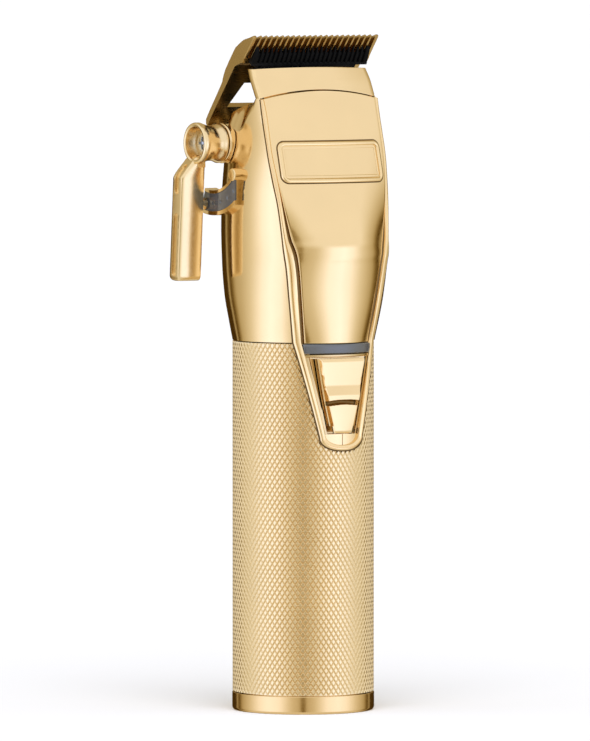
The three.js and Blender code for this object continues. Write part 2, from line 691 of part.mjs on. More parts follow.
// The yoke hangs from the cutter and carries it from side to side. Its fork stands wide of the
// crank sleeve, because the crank is free to turn on its own.
function addYoke() {
  const fork = box([-8.2, 8.2], [-5.2, 8.4], [146.5, 149.5])
    .subtract(box([-5.2, 5.2], [-3, 6.7], [146, 150]));
  const stalk = slab([
    [-5.2, 146.5], [-3.4, 146.5], [-3.4, 157.5], [1.2, 165.6], [1.2, 167.3], [-0.4, 167.3],
    [-5.2, 158.3],
  ], [-3.4, 3.4]);
  add('drive_yoke', blackPlastic, fork.add(stalk));
}

// The carriage lets the cutter set back from the tooth tips. Its tail is slotted for the pin of
// the lever shaft.
function addCarriage() {
  const plate = box([-13, 13], [-4.4, -2.9], [-23, -15])
    .subtract(box([-5.6, 5.6], [-6, 0], [-21.5, -14]));
  const slotY = leverLocal.y - PIN_THROW * 0.953;
  const slotZ = leverLocal.z - TAPER_TRAVEL / 2;
  const tail = slab([
    [-2.9, -21], [-4.4, -19], [slotY - 3.6, -28], [slotY - 3.6, slotZ - 3.6],
    [slotY + 3.6, slotZ - 3.6], [-5.8, -28], [-3.6, -26],
  ], [-13, -10]);
  const slot = slab(stadium([slotY, slotZ], 0.2, PIN_R + GAP + 0.1), [-14, -9]);
  add('taper_carriage', steel, plate.add(tail).subtract(slot), bladeFrame);
  const leaf = slab([
    [-4.7, -16], [-4.7, -19.5], [-7.2, -24.6], [-7.6, -24.4], [-5.1, -19.3], [-5.1, -16],
  ], [-9.4, -6.2]);
  const bridge = box([-9.4, 9.4], [-7.5, -6.9], [-24.6, -23.6]);
  add('tension_spring', steel, joined(leaf, leaf.mirror([1, 0, 0]), bridge), bladeFrame);
}

function stadium([y, z], halfRun, radius, steps = 8) {
  return [[1, -90], [-1, 90]].flatMap(([side, start]) => (
    Array.from({ length: steps + 1 }, (_, i) => {
      const angle = (start + (180 * i) / steps) * DEG;
      return [y + side * halfRun + radius * Math.cos(angle), z + radius * Math.sin(angle)];
    })));
}

// ---------------------------------------------------------------- taper lever

// In the lever frame x runs up, y to the back and z out of the side.
function addLever() {
  const hub = turned([
    [0, 20.9], [5.4, 20.9], [5.4, 21.4], [4.3, 23], [4.2, 25], [5.57, 27], [5.57, 28.3],
    [5.1, 28.7], [4.5, 28.6], [4.2, 26.4], [0, 26.4],
  ], 32);
  const bore = disc(1.4, 10, 40, 20);
  const nib = disc(1.6, 23, 26, 20).translate([-16.3, 3.4, 0]);
  add('taper_lever', polishedGold, joined(hub, leverHandle(), nib).subtract(bore), leverFrame);
  const screw = turned([
    [0, 16], [1.1, 16], [1.1, 26.7], [2.9, 26.7], [2.9, 27.3], [1.8, 28], [0, 28.1],
  ], 28);
  add('lever_screw', steel, screw.subtract(crossDrive(1.6, 0.4, [27.2, 30])), leverFrame);
  addLeverShaft();
}

function leverHandle() {
  const inner = 25;
  const section = (height, inset, outer) => {
    const shift = (-10 - height) * LEVER_LEAN;
    const front = 0.55 + shift + inset;
    const back = 5.5 + shift - inset;
    return [
      [front, outer - 0.3], [front - 0.75, mix(outer, inner, 0.22)],
      [front - 1.05, mix(outer, inner, 0.5)], [front - 0.75, mix(outer, inner, 0.78)],
      [front, inner + 0.2], [front + 0.9, inner], [back - 0.8, inner], [back, inner + 0.8],
      [back, outer - 0.8], [back - 0.8, outer], [front + 0.5, outer],
    ].map(([y, z]) => new THREE.Vector3(height, y, z));
  };
  return loft([
    section(-36.9, 0.9, 31.4), section(-36.5, 0.3, 31.9), section(-35.7, 0, 32.2),
    section(-9.1, 0, 32.2), section(-4.3, 0, 28.4), section(-3.2, 0.5, 27.6),
  ], ['y', 'z']);
}

// The shaft's pin stands off the pivot at right angles to the blade when the lever is half way.
function addLeverShaft() {
  const angle = (BLADE_TILT + LEVER_SWING / 2) * DEG;
  const aside = [-PIN_THROW * Math.sin(angle), -PIN_THROW * Math.cos(angle), 0];
  const pin = disc(PIN_R, 9.9, 14.5, 20).translate(aside);
  const cheek = disc(2.1, 14, 15.4, 20).translate(aside);
  const shaft = turned([
    [0, 14], [2.6, 14], [2.6, 20.6], [1.4, 20.6], [1.4, 15.7], [0, 15.7],
  ], 28);
  add('lever_shaft', steel, joined(shaft, cheek, pin), leverFrame);
}

// A ring sector about the pivot, from straight down towards the front.
function sectorPlate(r0, r1, from, to, z0, z1, steps = 14) {
  const arc = (r, a, b) => Array.from({ length: steps + 1 }, (_, i) => {
    const angle = mix(a, b, i / steps) * DEG;
    return [-r * Math.cos(angle), -r * Math.sin(angle)];
  });
  const outline = [...arc(r1, from, to), ...arc(r0, to, from)];
  const ring = (z) => outline.map(([x, y]) => new THREE.Vector3(x, y, z));
  return loft([ring(z0), ring(z1)]);
}

function addDetents() {
  const besideHead = shellCore(GAP)
    .translate([0, -PIVOT_Y, -PIVOT_Z])
    .rotate([0, 90, 0]);
  const endBoss = disc(1.7, 19, SECTOR_FACE + 0.25, 20)
    .translate([-13.8 * Math.cos(54 * DEG), -13.8 * Math.sin(54 * DEG), 0]);
  const towardsFront = box([-30, 10], [-40, -12.4], [10, 30]);
  const sector = sectorPlate(SECTOR_INNER, SECTOR_OUTER, -17, 64, 19.3, SECTOR_FACE)
    .subtract(towardsFront)
    .subtract(sectorPlate(13.5, 18.4, -20, 60, SECTOR_FACE - 0.75, SECTOR_FACE + 1))
    .add(endBoss)
    .subtract(besideHead);
  add('detent_sector', polishedGold, sector, leverFrame);
  let insert = sectorPlate(13.8, 18.1, -16.7, 46, SECTOR_FACE - 0.45, SECTOR_FACE - 0.05)
    .subtract(towardsFront);
  for (let i = 1; i < 5; i += 1) {
    const angle = (-11.5 + (i * LEVER_SWING) / 4) * DEG;
    insert = insert.subtract(disc(0.9, SECTOR_FACE - 1, SECTOR_FACE + 1, 12)
      .translate([-16.2 * Math.cos(angle), -16.2 * Math.sin(angle), 0]));
  }
  add('detent_insert', smokedPlastic, insert, leverFrame);
  const collar = turned([[2.9, 15.8], [5.5, 15.8], [5.5, 20.1], [5.1, 20.6], [2.9, 20.6]], 28)
    .subtract(besideHead)
    .add(tube(2.9, 3.1, 15.8, 20, 28));
  add('lever_bushing', polishedGold, collar, leverFrame);
}

addBase();
addBarrel();
addPowerTrain();
addMotor();
addCrank();
addHead();
addFront();
addSwitch();
addBlade();
addCutter();
addYoke();
addCarriage();
addLever();
addDetents();

export default clipper;
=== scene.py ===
"""Cordless hair clipper: finished meshes, materials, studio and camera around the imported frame.

Lengths are millimetres in the row frame until a mesh is made, when MM turns them into metres.
"""

import json
import math

import bmesh
import bpy
from mathutils import Matrix, Vector


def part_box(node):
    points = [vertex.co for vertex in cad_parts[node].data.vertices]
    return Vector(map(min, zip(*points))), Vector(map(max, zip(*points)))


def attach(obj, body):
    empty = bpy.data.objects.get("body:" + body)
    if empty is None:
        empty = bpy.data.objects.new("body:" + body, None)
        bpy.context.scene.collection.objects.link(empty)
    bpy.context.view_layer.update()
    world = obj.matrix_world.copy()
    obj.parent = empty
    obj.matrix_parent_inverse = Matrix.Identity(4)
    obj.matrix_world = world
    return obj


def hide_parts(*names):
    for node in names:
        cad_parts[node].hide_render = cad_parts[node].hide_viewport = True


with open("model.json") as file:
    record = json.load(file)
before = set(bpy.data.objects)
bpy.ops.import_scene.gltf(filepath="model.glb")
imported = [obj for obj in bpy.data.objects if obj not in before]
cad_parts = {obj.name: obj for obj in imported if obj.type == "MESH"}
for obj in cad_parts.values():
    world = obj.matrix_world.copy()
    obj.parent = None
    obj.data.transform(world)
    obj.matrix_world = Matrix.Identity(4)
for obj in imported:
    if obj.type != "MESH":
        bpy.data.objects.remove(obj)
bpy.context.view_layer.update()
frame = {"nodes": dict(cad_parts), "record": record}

MM = 0.001

# ---------------------------------------------------------------- dimensions

BARREL_R = 19.0
BARREL_BORE = 17.2
SHELL_WALL = 1.6
CAP_TOP = 4.8
CAP_R = 19.1
HEAD_BASE = 99.6
HEAD_TOP = 166
SEAM_Z = 164.7
SEAM_RISE = 2.2
SEAM_HALF = 18.7
NOSE_TOP = 172.4
BADGE_HALF = 16.4
BADGE_Z = (142.2, 153.2)
BADGE_CORNER = 2.0
COVER_SCREWS = (106.0, 146.0)

# The shield on the barrel, as (outer edge, inner edge): half widths where it leaves the head and
# above its round tip, the height at which the tip starts and how far the tip hangs below that.
SHIELD_TOP = (13.1, 11.3)
SHIELD_LOW = (6.9, 5.4)
SHIELD_LEVEL = (74.0, 75.0)
SHIELD_DROP = (3.5, 2.9)
SHIELD_R = BARREL_R + 0.35
TIP_TOP = SHIELD_LEVEL[1]
TIP_END = 71.3
TRAY_TOP = 95.9
TRAY_FLOOR = -16.2
SWITCH_FOOT = 75.3
FOOT_END = 77.2
SWITCH_TOP = 95.2

PIVOT = (9.75, 152.5)           # y and z
HANDLE_LEAN = 0.067
HANDLE_INNER = 25.0
SECTOR_FACE = 22.75
DETENT_R = 16.2

BLADE_TILT = math.radians(40)
BLADE_TIPS = Vector((0, -6.6, 181))
BLADE_HALF = 20.3
BLADE_HEEL = 33.0
BLADE_PITCH = 1.77
BLADE_SLOTS = 22
CUTTER_HALF = 18.6
CUTTER_PITCH = 1.46
CUTTER_SLOTS = 24
BLADE_SCREW = (11.0, 29.8)      # from the middle and from the tooth tips
TOOTH_LENGTH = 8.0
CUTTER_TOOTH = 4.4
CUTTER_SETBACK = 3.3

KNURLS_AROUND = 84
KNURL_HEIGHT = 2.2
KNURL_DEPTH = 0.22
KNURL_TOP = 0.58        # flat share of each diamond

CAMERA_AZIMUTH = math.radians(34)
CAMERA_ELEVATION = math.radians(3)
CAMERA_DISTANCE = 2500.0
CAMERA_LENS = 451.8
CAMERA_TARGET = (-2.2, 91.2)    # to the camera's right, and up

# Front of the head at each height: the frame's outer edge, its inner edge and the cover's crown.
FRONT = [
    (HEAD_TOP, (18.9, -7.0), (18.3, -7.5), -9.2),
    (160, (18.9, -8.2), (18.1, -9.3), -11.0),
    (151, (18.9, -10.6), (18.2, -11.6), -13.8),
    (142.8, (18.4, -12.5), (17.6, -13.7), -16.6),
    (136, (17.75, -14.1), (16.9, -15.0), -19.0),
    (127, (17.2, -15.4), (15.8, -16.3), -21.7),
    (124.6, (17.1, -15.7), (15.2, -17.0), -22.1),
    (122.6, (16.9, -15.9), (14.8, -17.4), -22.1),
    (120.6, (16.5, -15.9), (14.4, -17.4), -21.7),
    (111, (15.1, -15.5), (12.9, -16.7), -20.2),
    (HEAD_BASE, (SHIELD_TOP[0], -14.2), (SHIELD_TOP[1], -15.7), -19.4),
]
# Head shell at each height: half width, back depth and squareness.
SHELL = [
    (HEAD_BASE, BARREL_R, BARREL_R, 2.0), (105, 19.8, 19.6, 2.1), (112, 20.6, 20.2, 2.25),
    (120, 21.05, 20.3, 2.35), (130, 21.2, 20.4, 2.4), (139, 21.0, 20.2, 2.4),
    (147, 20.4, 19.8, 2.4), (156, 19.7, 19.0, 2.5), (HEAD_TOP, 19.5, 17.6, 2.8),
]
# Upper edge of the shell seen from the side, as (y, z).
SHELL_TOP = [
    (-14, SEAM_Z), (-6, SEAM_Z), (-4.7, 162.8), (-1.8, 163.2), (1.5, 163.0),
    (5.4, 162.0), (8, 160.6), (10, 158.7), (12, 157.0), (14, 155.4), (24, 148.6),
]


# ---------------------------------------------------------------- curves and grids


def mix(a, b, t):
    return a + (b - a) * t


def steps(first, last, count):
    return [mix(first, last, i / (count - 1)) for i in range(count)]


def smooth(points):
    """A function through (x, y) points whose slopes never overshoot them."""
    points = sorted(points)
    xs = [p[0] for p in points]
    ys = [p[1] for p in points]
    chords = [(ys[i + 1] - ys[i]) / (xs[i + 1] - xs[i]) for i in range(len(xs) - 1)]
    inner = [0 if a * b <= 0 else 2 * a * b / (a + b) for a, b in zip(chords, chords[1:])]
    slopes = [chords[0], *inner, chords[-1]]

    def at(x):
        x = min(max(x, xs[0]), xs[-1])
        i = max(k for k in range(len(xs) - 1) if xs[k] <= x)
        h = xs[i + 1] - xs[i]
        t = (x - xs[i]) / h
        return (
            (1 + 2 * t) * (1 - t) ** 2 * ys[i]
            + t * (1 - t) ** 2 * h * slopes[i]
            + t * t * (3 - 2 * t) * ys[i + 1]
            + t * t * (t - 1) * h * slopes[i + 1]
        )

    return at


OUTER_X = smooth([(z, outer[0]) for z, outer, _, _ in FRONT])
OUTER_Y = smooth([(z, outer[1]) for z, outer, _, _ in FRONT])
INNER_X = smooth([(z, inner[0]) for z, _, inner, _ in FRONT])
INNER_Y = smooth([(z, inner[1]) for z, _, inner, _ in FRONT])
CROWN = smooth([(z, crown) for z, _, _, crown in FRONT])
HALF = smooth([(z, half) for z, half, _, _ in SHELL])
BACK = smooth([(z, back) for z, _, back, _ in SHELL])
POWER = smooth([(z, power) for z, _, _, power in SHELL])
TOP_EDGE = smooth(SHELL_TOP)


def cover_y(x, z, edge=None):
    """Front surface of the cover, whose half width is edge or else reaches the frame."""
    edge = edge or INNER_X(z)
    return mix(CROWN(z), INNER_Y(z), min(1.0, (x / edge) ** 2))


def seam_rise(x):
    """How far the seam under the nose arches up at x."""
    return SEAM_RISE * (1 - (x / SEAM_HALF) ** 2)


def surface(rows, wrap=False, caps=False):
    """A bmesh of quads through rows of points. wrap joins each row's ends."""
    bm = bmesh.new()
    made = [[bm.verts.new(Vector(p) * MM) for p in row] for row in rows]
    for a, b in zip(made, made[1:]):
        for i in range(len(a) if wrap else len(a) - 1):
            j = (i + 1) % len(a)
            bm.faces.new((a[i], a[j], b[j], b[i]))
    if caps:
        bm.faces.new(made[0])
        bm.faces.new(made[-1])
    return tidy(bm)


def tidy(bm):
    bmesh.ops.remove_doubles(bm, verts=bm.verts, dist=2e-6)
    bmesh.ops.dissolve_degenerate(bm, edges=bm.edges, dist=1e-6)
    bmesh.ops.recalc_face_normals(bm, faces=bm.faces)
    return bm


def outward(bm):
    """Turns an open sheet's faces away from the middle axis."""
    bm.normal_update()
    if sum(f.normal.x * f.calc_center_median().x + f.normal.y * f.calc_center_median().y
           for f in bm.faces) < 0:
        bmesh.ops.reverse_faces(bm, faces=bm.faces)
    return bm


def merged(*parts):
    """One bmesh holding all the given ones."""
    whole = bmesh.new()
    for part in parts:
        mesh = bpy.data.meshes.new("part")
        part.to_mesh(mesh)
        part.free()
        whole.from_mesh(mesh)
        bpy.data.meshes.remove(mesh)
    return whole


def placed(bm, matrix):
    """The bmesh moved by a matrix given in millimetres."""
    scaled = matrix.copy()
    scaled.translation = matrix.translation * MM
    bm.transform(scaled)
    bmesh.ops.recalc_face_normals(bm, faces=bm.faces)
    return bm


def turned(profile, count=96):
    """A piece turned about z through (radius, z) points."""
    rows = []
    for k in range(count):
        angle = 2 * math.pi * k / count
        c, s = math.cos(angle), math.sin(angle)
        rows.append([(r * c, r * s, z) for r, z in profile])
    return surface([*rows, rows[0]], wrap=profile[0][0] > 0 or profile[-1][0] > 0)


def prism(outline, low, high, axis="z"):
    """A flat outline carried between two levels of an axis. The outline gives the other two."""
    place = {
        "x": lambda a, b, c: (c, a, b),
        "y": lambda a, b, c: (a, c, b),
        "z": lambda a, b, c: (a, b, c),
    }[axis]
    return surface([[place(a, b, c) for a, b in outline] for c in (low, high)], True, True)


def block(x, y, z):
    return prism([(x[0], y[0]), (x[1], y[0]), (x[1], y[1]), (x[0], y[1])], *z)


def rounded_rectangle(half, low, high, radius, count=8):
    corners = [
        (half - radius, high - radius, 0), (-half + radius, high - radius, 90),
        (-half + radius, low + radius, 180), (half - radius, low + radius, 270),
    ]
    return [
        (x + radius * math.cos(math.radians(start + 90 * i / count)),
         z + radius * math.sin(math.radians(start + 90 * i / count)))
        for x, z, start in corners
        for i in range(count + 1)
    ]


def piece(name, bm, material, body="root", replaces=(), bevel=0.0, wall=0.0, angle=32,
          segments=3):
    """Makes the object, softens its edges and hands it to the frame. wall thickens a sheet inwards."""
    if wall:
        outward(bm)
    mesh = bpy.data.meshes.new(name)
    bm.to_mesh(mesh)
    bm.free()
    obj = bpy.data.objects.new(name, mesh)
    bpy.context.scene.collection.objects.link(obj)
    mesh.materials.append(material)
    mesh.shade_smooth()
    if wall:
        solid = obj.modifiers.new("wall", "SOLIDIFY")
        solid.thickness = wall * MM
        solid.offset = -1
        solid.use_even_offset = True
    if bevel:
        soften(obj, bevel, segments, angle)
    else:
        mesh.set_sharp_from_angle(angle=math.radians(angle))
    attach(obj, body)
    if replaces:
        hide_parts(*replaces)


def soften(obj, width, segments, angle):
    """Rounds the edges that are sharper than the angle in degrees."""
    edge = obj.modifiers.new("edges", "BEVEL")
    edge.width = width * MM
    edge.segments = segments
    edge.limit_method = "ANGLE"
    edge.angle_limit = math.radians(angle)
    edge.use_clamp_overlap = True
    edge.harden_normals = False
    weighted = obj.modifiers.new("normals", "WEIGHTED_NORMAL")
    weighted.keep_sharp = True


def carved(bm, *cutters):
    """The bmesh with each cutter taken away from it."""

    def loose(part):
        mesh = bpy.data.meshes.new("loose")
        part.to_mesh(mesh)
        part.free()
        obj = bpy.data.objects.new("loose", mesh)
        bpy.context.scene.collection.objects.link(obj)
        return obj

    target = loose(bm)
    tools = [loose(cutter) for cutter in cutters]
    for tool in tools:
        cut = target.modifiers.new("cut", "BOOLEAN")
        cut.operation = "DIFFERENCE"
        cut.solver = "EXACT"
        cut.object = tool
    bpy.context.view_layer.update()
    result = bmesh.new()
    result.from_mesh(target.evaluated_get(bpy.context.evaluated_depsgraph_get()).to_mesh())
    for obj in (target, *tools):
        mesh = obj.data
        bpy.data.objects.remove(obj)
        bpy.data.meshes.remove(mesh)
    bmesh.ops.dissolve_degenerate(result, edges=result.edges, dist=1e-6)
    return result


# ---------------------------------------------------------------- materials


class Nodes:
    """A short way to write a node tree."""

    def __init__(self, tree):
        self.tree = tree
        self.place = 0

    def add(self, kind, inputs=None, **settings):
        node = self.tree.nodes.new(kind)
        self.place += 180
        node.location = (self.place, 0)
        for key, value in settings.items():
            setattr(node, key, value)
        for key, value in (inputs or {}).items():
            if isinstance(value, bpy.types.NodeSocket):
                self.tree.links.new(value, node.inputs[key])
            else:
                node.inputs[key].default_value = value
        return node

    def math(self, operation, a, b=0.0):
        return self.add("ShaderNodeMath", {0: a, 1: b}, operation=operation).outputs[0]

    def ramp(self, factor, stops):
        node = self.add("ShaderNodeValToRGB", {0: factor})
        band = node.color_ramp
        while len(band.elements) > 1:
            band.elements.remove(band.elements[-1])
        band.elements[0].position = stops[0][0]
        band.elements[0].color = grey(stops[0][1])
        for position, value in stops[1:]:
            band.elements.new(position).color = grey(value)
        return node.outputs[0]

    def colour_mix(self, factor, a, b):
        node = self.add("ShaderNodeMix", data_type="RGBA")
        for index, value in ((0, factor), (6, a), (7, b)):
            if isinstance(value, bpy.types.NodeSocket):
                self.tree.links.new(value, node.inputs[index])
            else:
                node.inputs[index].default_value = value
        return node.outputs[2]


def grey(value):
    return (*value, 1.0) if isinstance(value, tuple) else (value, value, value, 1.0)


def shade(colour, factor):
    return tuple(min(1.0, c * factor) for c in colour)


GRAIN_DEPTH = 0.05 * MM


def finish(name, colour, metallic, rough, grain=900.0, bump=0.0, blotch=60.0, vary=0.06,
           wear=0.0, wear_colour=None, stretch=(1, 1, 1), **sockets):
    """A material whose colour drifts, whose roughness has a fine grain and whose edges are worn.

    grain and blotch are noise cells per metre, rough is the lowest and highest roughness.
    """
    material = bpy.data.materials.new(name)
    material.use_nodes = True
    n = Nodes(material.node_tree)
    shader = material.node_tree.nodes["Principled BSDF"]
    shader.inputs["Metallic"].default_value = metallic
    for key, value in sockets.items():
        shader.inputs[key.replace("_", " ")].default_value = value
    where = n.add("ShaderNodeTexCoord").outputs["Object"]
    stretched = n.add("ShaderNodeMapping", {"Vector": where, "Scale": stretch}).outputs[0]
    drift = n.add("ShaderNodeTexNoise", {"Vector": where, "Scale": blotch, "Detail": 3.0}).outputs[0]
    grains = n.add(
        "ShaderNodeTexNoise", {"Vector": stretched, "Scale": grain, "Detail": 4.0, "Roughness": 0.6}
    ).outputs[0]
    tone = n.colour_mix(drift, grey(shade(colour, 1 - vary)), grey(shade(colour, 1 + vary)))
    if wear:
        edge = n.add("ShaderNodeNewGeometry").outputs["Pointiness"]
        worn = n.math("MULTIPLY", n.ramp(edge, [(0.5, 0.0), (0.58, 1.0)]), wear)
        ragged = n.math("MULTIPLY", worn, n.ramp(grains, [(0.35, 0.3), (0.6, 1.0)]))
        tone = n.colour_mix(ragged, tone, grey(wear_colour or shade(colour, 1.2)))
    n.tree.links.new(tone, shader.inputs["Base Color"])
    spread = n.add(
        "ShaderNodeMapRange",
        {"Value": grains, "From Min": 0.3, "From Max": 0.7, "To Min": rough[0], "To Max": rough[1]},
    ).outputs[0]
    n.tree.links.new(spread, shader.inputs["Roughness"])
    if bump:
        bumped = n.add(
            "ShaderNodeBump", {"Strength": bump, "Distance": GRAIN_DEPTH, "Height": grains}
        ).outputs[0]
        n.tree.links.new(bumped, shader.inputs["Normal"])
    return material


GOLD = (0.87, 0.655, 0.365)
polished_gold = finish("polished_gold", GOLD, 1.0, (0.09, 0.15), bump=0.03, wear=0.35)
# darker copy of the gold for the switch tray and its ledge: painted shade of the recess
painted_shade_gold = finish("painted_shade_gold", (0.66, 0.49, 0.26), 1.0, (0.10, 0.18), bump=0.04, wear=0.4)
# darker copy of the polished gold for the end cap: painted shade
painted_shade_cap_gold = finish("painted_shade_cap_gold", (0.80, 0.57, 0.29), 1.0, (0.12, 0.18), bump=0.03, wear=0.35)
# satin gold for the lever: its higher roughness is the finish, its colour paler than the polished gold is
# painted light
painted_light_lever_gold = finish("painted_light_lever_gold", (0.87, 0.68, 0.40), 1.0, (0.2, 0.26), bump=0.03, wear=0.1)
# dark brown for sheets in the cover's channels and the switch groove: painted shade of the recesses
painted_channel_shade = finish("painted_channel_shade", (0.17, 0.10, 0.035), 1.0, (0.25, 0.4), bump=0.05)
satin_gold = finish("knurled_gold", (0.83, 0.64, 0.365), 1.0, (0.22, 0.32), bump=0.08, vary=0.05,
                    wear=0.4, wear_colour=(1.0, 0.90, 0.68))
blade_gold = finish("blade_gold", (0.48, 0.32, 0.12), 1.0, (0.22, 0.3), bump=0.02, vary=0.04,
                    stretch=(0.12, 1, 1))
# near-black brown for the strips in the gaps round the shield frame and the badge: painted shadow
painted_gap_shadow = finish("painted_gap_shadow", (0.11, 0.066, 0.024), 0.0, (0.5, 0.7), bump=0.1,
                   Specular_IOR_Level=0.1)
black_steel = finish("black_steel", (0.003, 0.003, 0.0035), 0.0, (0.3, 0.42), bump=0.06, vary=0.2,
                     stretch=(1, 0.1, 0.1), wear=0.2, wear_colour=(0.04, 0.04, 0.045),
                     Specular_IOR_Level=0.06)
chrome = finish("chrome", (0.62, 0.64, 0.68), 1.0, (0.08, 0.18), bump=0.04, wear=0.4)
steel = finish("steel", (0.50, 0.51, 0.53), 1.0, (0.2, 0.34), bump=0.10, wear=0.4)
copper = finish("copper", (0.72, 0.36, 0.18), 1.0, (0.25, 0.4), bump=0.2, stretch=(1, 1, 8))
smoked = finish("smoked_plastic", (0.085, 0.09, 0.10), 0.0, (0.05, 0.11), bump=0.02, vary=0.15,
                Coat_Weight=0.7, Coat_Roughness=0.04)
black_plastic = finish("black_plastic", (0.018, 0.018, 0.02), 0.0, (0.38, 0.55), bump=0.25)
green_board = finish("green_board", (0.02, 0.12, 0.055), 0.0, (0.3, 0.45), bump=0.15)
wrap_blue = finish("battery_wrap", (0.03, 0.11, 0.33), 0.0, (0.25, 0.4), bump=0.1)
clear = finish("clear_plastic", (0.8, 0.85, 0.88), 0.0, (0.08, 0.2), bump=0.05)

PAINT = {
    "polished_gold": polished_gold, "knurled_gold": satin_gold, "blade_gold": blade_gold,
    "black_steel": black_steel, "steel": steel, "copper": copper, "smoked_plastic": smoked,
    "black_plastic": black_plastic, "green_board": green_board, "battery_wrap": wrap_blue,
    "clear_plastic": clear,
}


def paint_frame():
    """Gives every CAD node the procedural material of its slot."""
    for part in frame["record"]["subparts"]:
        mesh = frame["nodes"][part["node"]].data
        mesh.materials.clear()
        mesh.materials.append(PAINT[part["material_slot"]])
        mesh.shade_smooth()
        mesh.set_sharp_from_angle(angle=math.radians(35))


# ---------------------------------------------------------------- grip


def shield_outline(share):
    """Right half of the shield on the barrel, from the head down: share 0 is the outer edge."""
    top, side = mix(*SHIELD_TOP, share), mix(*SHIELD_LOW, share)
    level, drop = mix(*SHIELD_LEVEL, share), mix(*SHIELD_DROP, share)
    straight = [(mix(top, side, i / 11), mix(HEAD_BASE, level, i / 11)) for i in range(11)]
    bend = [
        (side * math.cos(a) ** 0.9, level - drop * math.sin(a) ** 0.95)
        for a in (math.radians(90 * i / 24) for i in range(24))
    ]
    return [*straight, *bend, (0.0, level - drop)]


def grip():
    """Knurled barrel: flat-topped diamonds around it, cut off at both ends and open under the shield."""
    low, high = (corner.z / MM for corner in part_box("grip_barrel"))
    rows = round((high - low) / (KNURL_HEIGHT / 2)) + 2
    columns = 2 * KNURLS_AROUND
    bm = bmesh.new()

    def vertex(a, b, radius):
        angle = a * (2 * math.pi / columns)
        z = low + (b - 1) * KNURL_HEIGHT / 2
        return bm.verts.new(
            (radius * math.cos(angle) * MM, radius * math.sin(angle) * MM, z * MM)
        )

    crossings = {
        (a, b): vertex(a, b, BARREL_R - KNURL_DEPTH)
        for a in range(columns)
        for b in range(-1, rows + 2)
        if (a + b) % 2
    }
    for a in range(columns):
        for b in range(rows + 1):
            if (a + b) % 2:
                continue
            around = [(a - 1, b), (a, b - 1), (a + 1, b), (a, b + 1)]
            foot = [crossings[i % columns, j] for i, j in around]
            top = [
                vertex(mix(a, i, KNURL_TOP), mix(b, j, KNURL_TOP), BARREL_R) for i, j in around
            ]
            bm.faces.new(top)
            for k in range(4):
                bm.faces.new((foot[k - 1], foot[k], top[k], top[k - 1]))
    for level, side in ((low, -1), (high, 1)):
        every = [*bm.verts, *bm.edges, *bm.faces]
        bmesh.ops.bisect_plane(bm, geom=every, plane_co=(0, 0, level * MM),
                               plane_no=(0, 0, side), clear_outer=True)
    rims = [e for e in bm.edges if e.is_boundary]
    grown = bmesh.ops.extrude_edge_only(bm, edges=rims)["geom"]
    for v in (g for g in grown if isinstance(g, bmesh.types.BMVert)):
        scale = BARREL_BORE * MM / math.hypot(v.co.x, v.co.y)
        v.co.x *= scale
        v.co.y *= scale
    bmesh.ops.bridge_loops(bm, edges=[e for e in bm.edges if e.is_boundary])
    bmesh.ops.recalc_face_normals(bm, faces=bm.faces)
    half = shield_outline(0.45)
    outline = [*half, *[(-x, z) for x, z in reversed(half[:-1])]]
    outline = [(half[0][0], HEAD_BASE + 4), *outline, (-half[0][0], HEAD_BASE + 4)]
    bm = carved(bm, prism(outline, -30, -5, "y"))
    piece("knurled_barrel", bm, satin_gold, replaces=["grip_barrel"], angle=8)


def end_cap():
    """Cap with a jack hole, two contact slots and two countersunk screw holes in its foot."""
    jack = turned([(0, -1), (3.4, -1), (3.4, 7.5), (0, 7.5)], 48)
    placed(jack, Matrix.Translation((0, 9.5, 0)))
    cuts = [jack]
    for x in (-8.5, 8.5):
        slot = [(p[0] + x, p[1]) for p in rounded_rectangle(1.8, -11, -5, 0.6, 4)]
        cuts.append(prism(slot, -1, 7.5))
    for x in (-12.5, 12.5):
        sink = turned([(0, -1), (2.8, -1), (2.8, 1.2), (1.5, 2.4), (1.5, 7.5), (0, 7.5)], 40)
        cuts.append(placed(sink, Matrix.Translation((x, 5, 0))))
    round_edge = 0.9
    profile = [(0, 0), (CAP_R - round_edge, 0)]
    for i in range(1, 7):
        a = math.radians(15 * i)
        profile.append((CAP_R - round_edge + round_edge * math.sin(a),
                        round_edge - round_edge * math.cos(a)))
    profile += [
        (CAP_R, CAP_TOP - 0.15), (CAP_R - 0.12, CAP_TOP), (BARREL_BORE - 0.3, CAP_TOP),
        (BARREL_BORE - 0.3, 8), (0, 8),
    ]
    bm = carved(turned(profile, 144), *cuts)
    # the cap takes the darker gold, painted shade
    piece("polished_end_cap", bm, painted_shade_cap_gold, replaces=["end_cap"],
          bevel=0.12, segments=2, angle=40)


# ---------------------------------------------------------------- head


def shell_point(z, t, inset=0.0):
    """A point of the shell at height z, t running round the back from one frame edge to the other."""
    half, back, power = HALF(z), BACK(z), POWER(z)
    corner_x, corner_y = OUTER_X(z), OUTER_Y(z)
    front = -corner_y / (1 - (corner_x / half) ** power) ** (1 / power)
    reach = math.acos((corner_x / half) ** (power / 2))
    angle = mix(-reach, math.pi + reach, t)
    c, s = math.cos(angle), math.sin(angle)
    depth = back if s > 0 else front
    return (
        (half - inset) * math.copysign(abs(c) ** (2 / power), c),
        (depth - inset) * math.copysign(abs(s) ** (2 / power), s),
        z,
    )


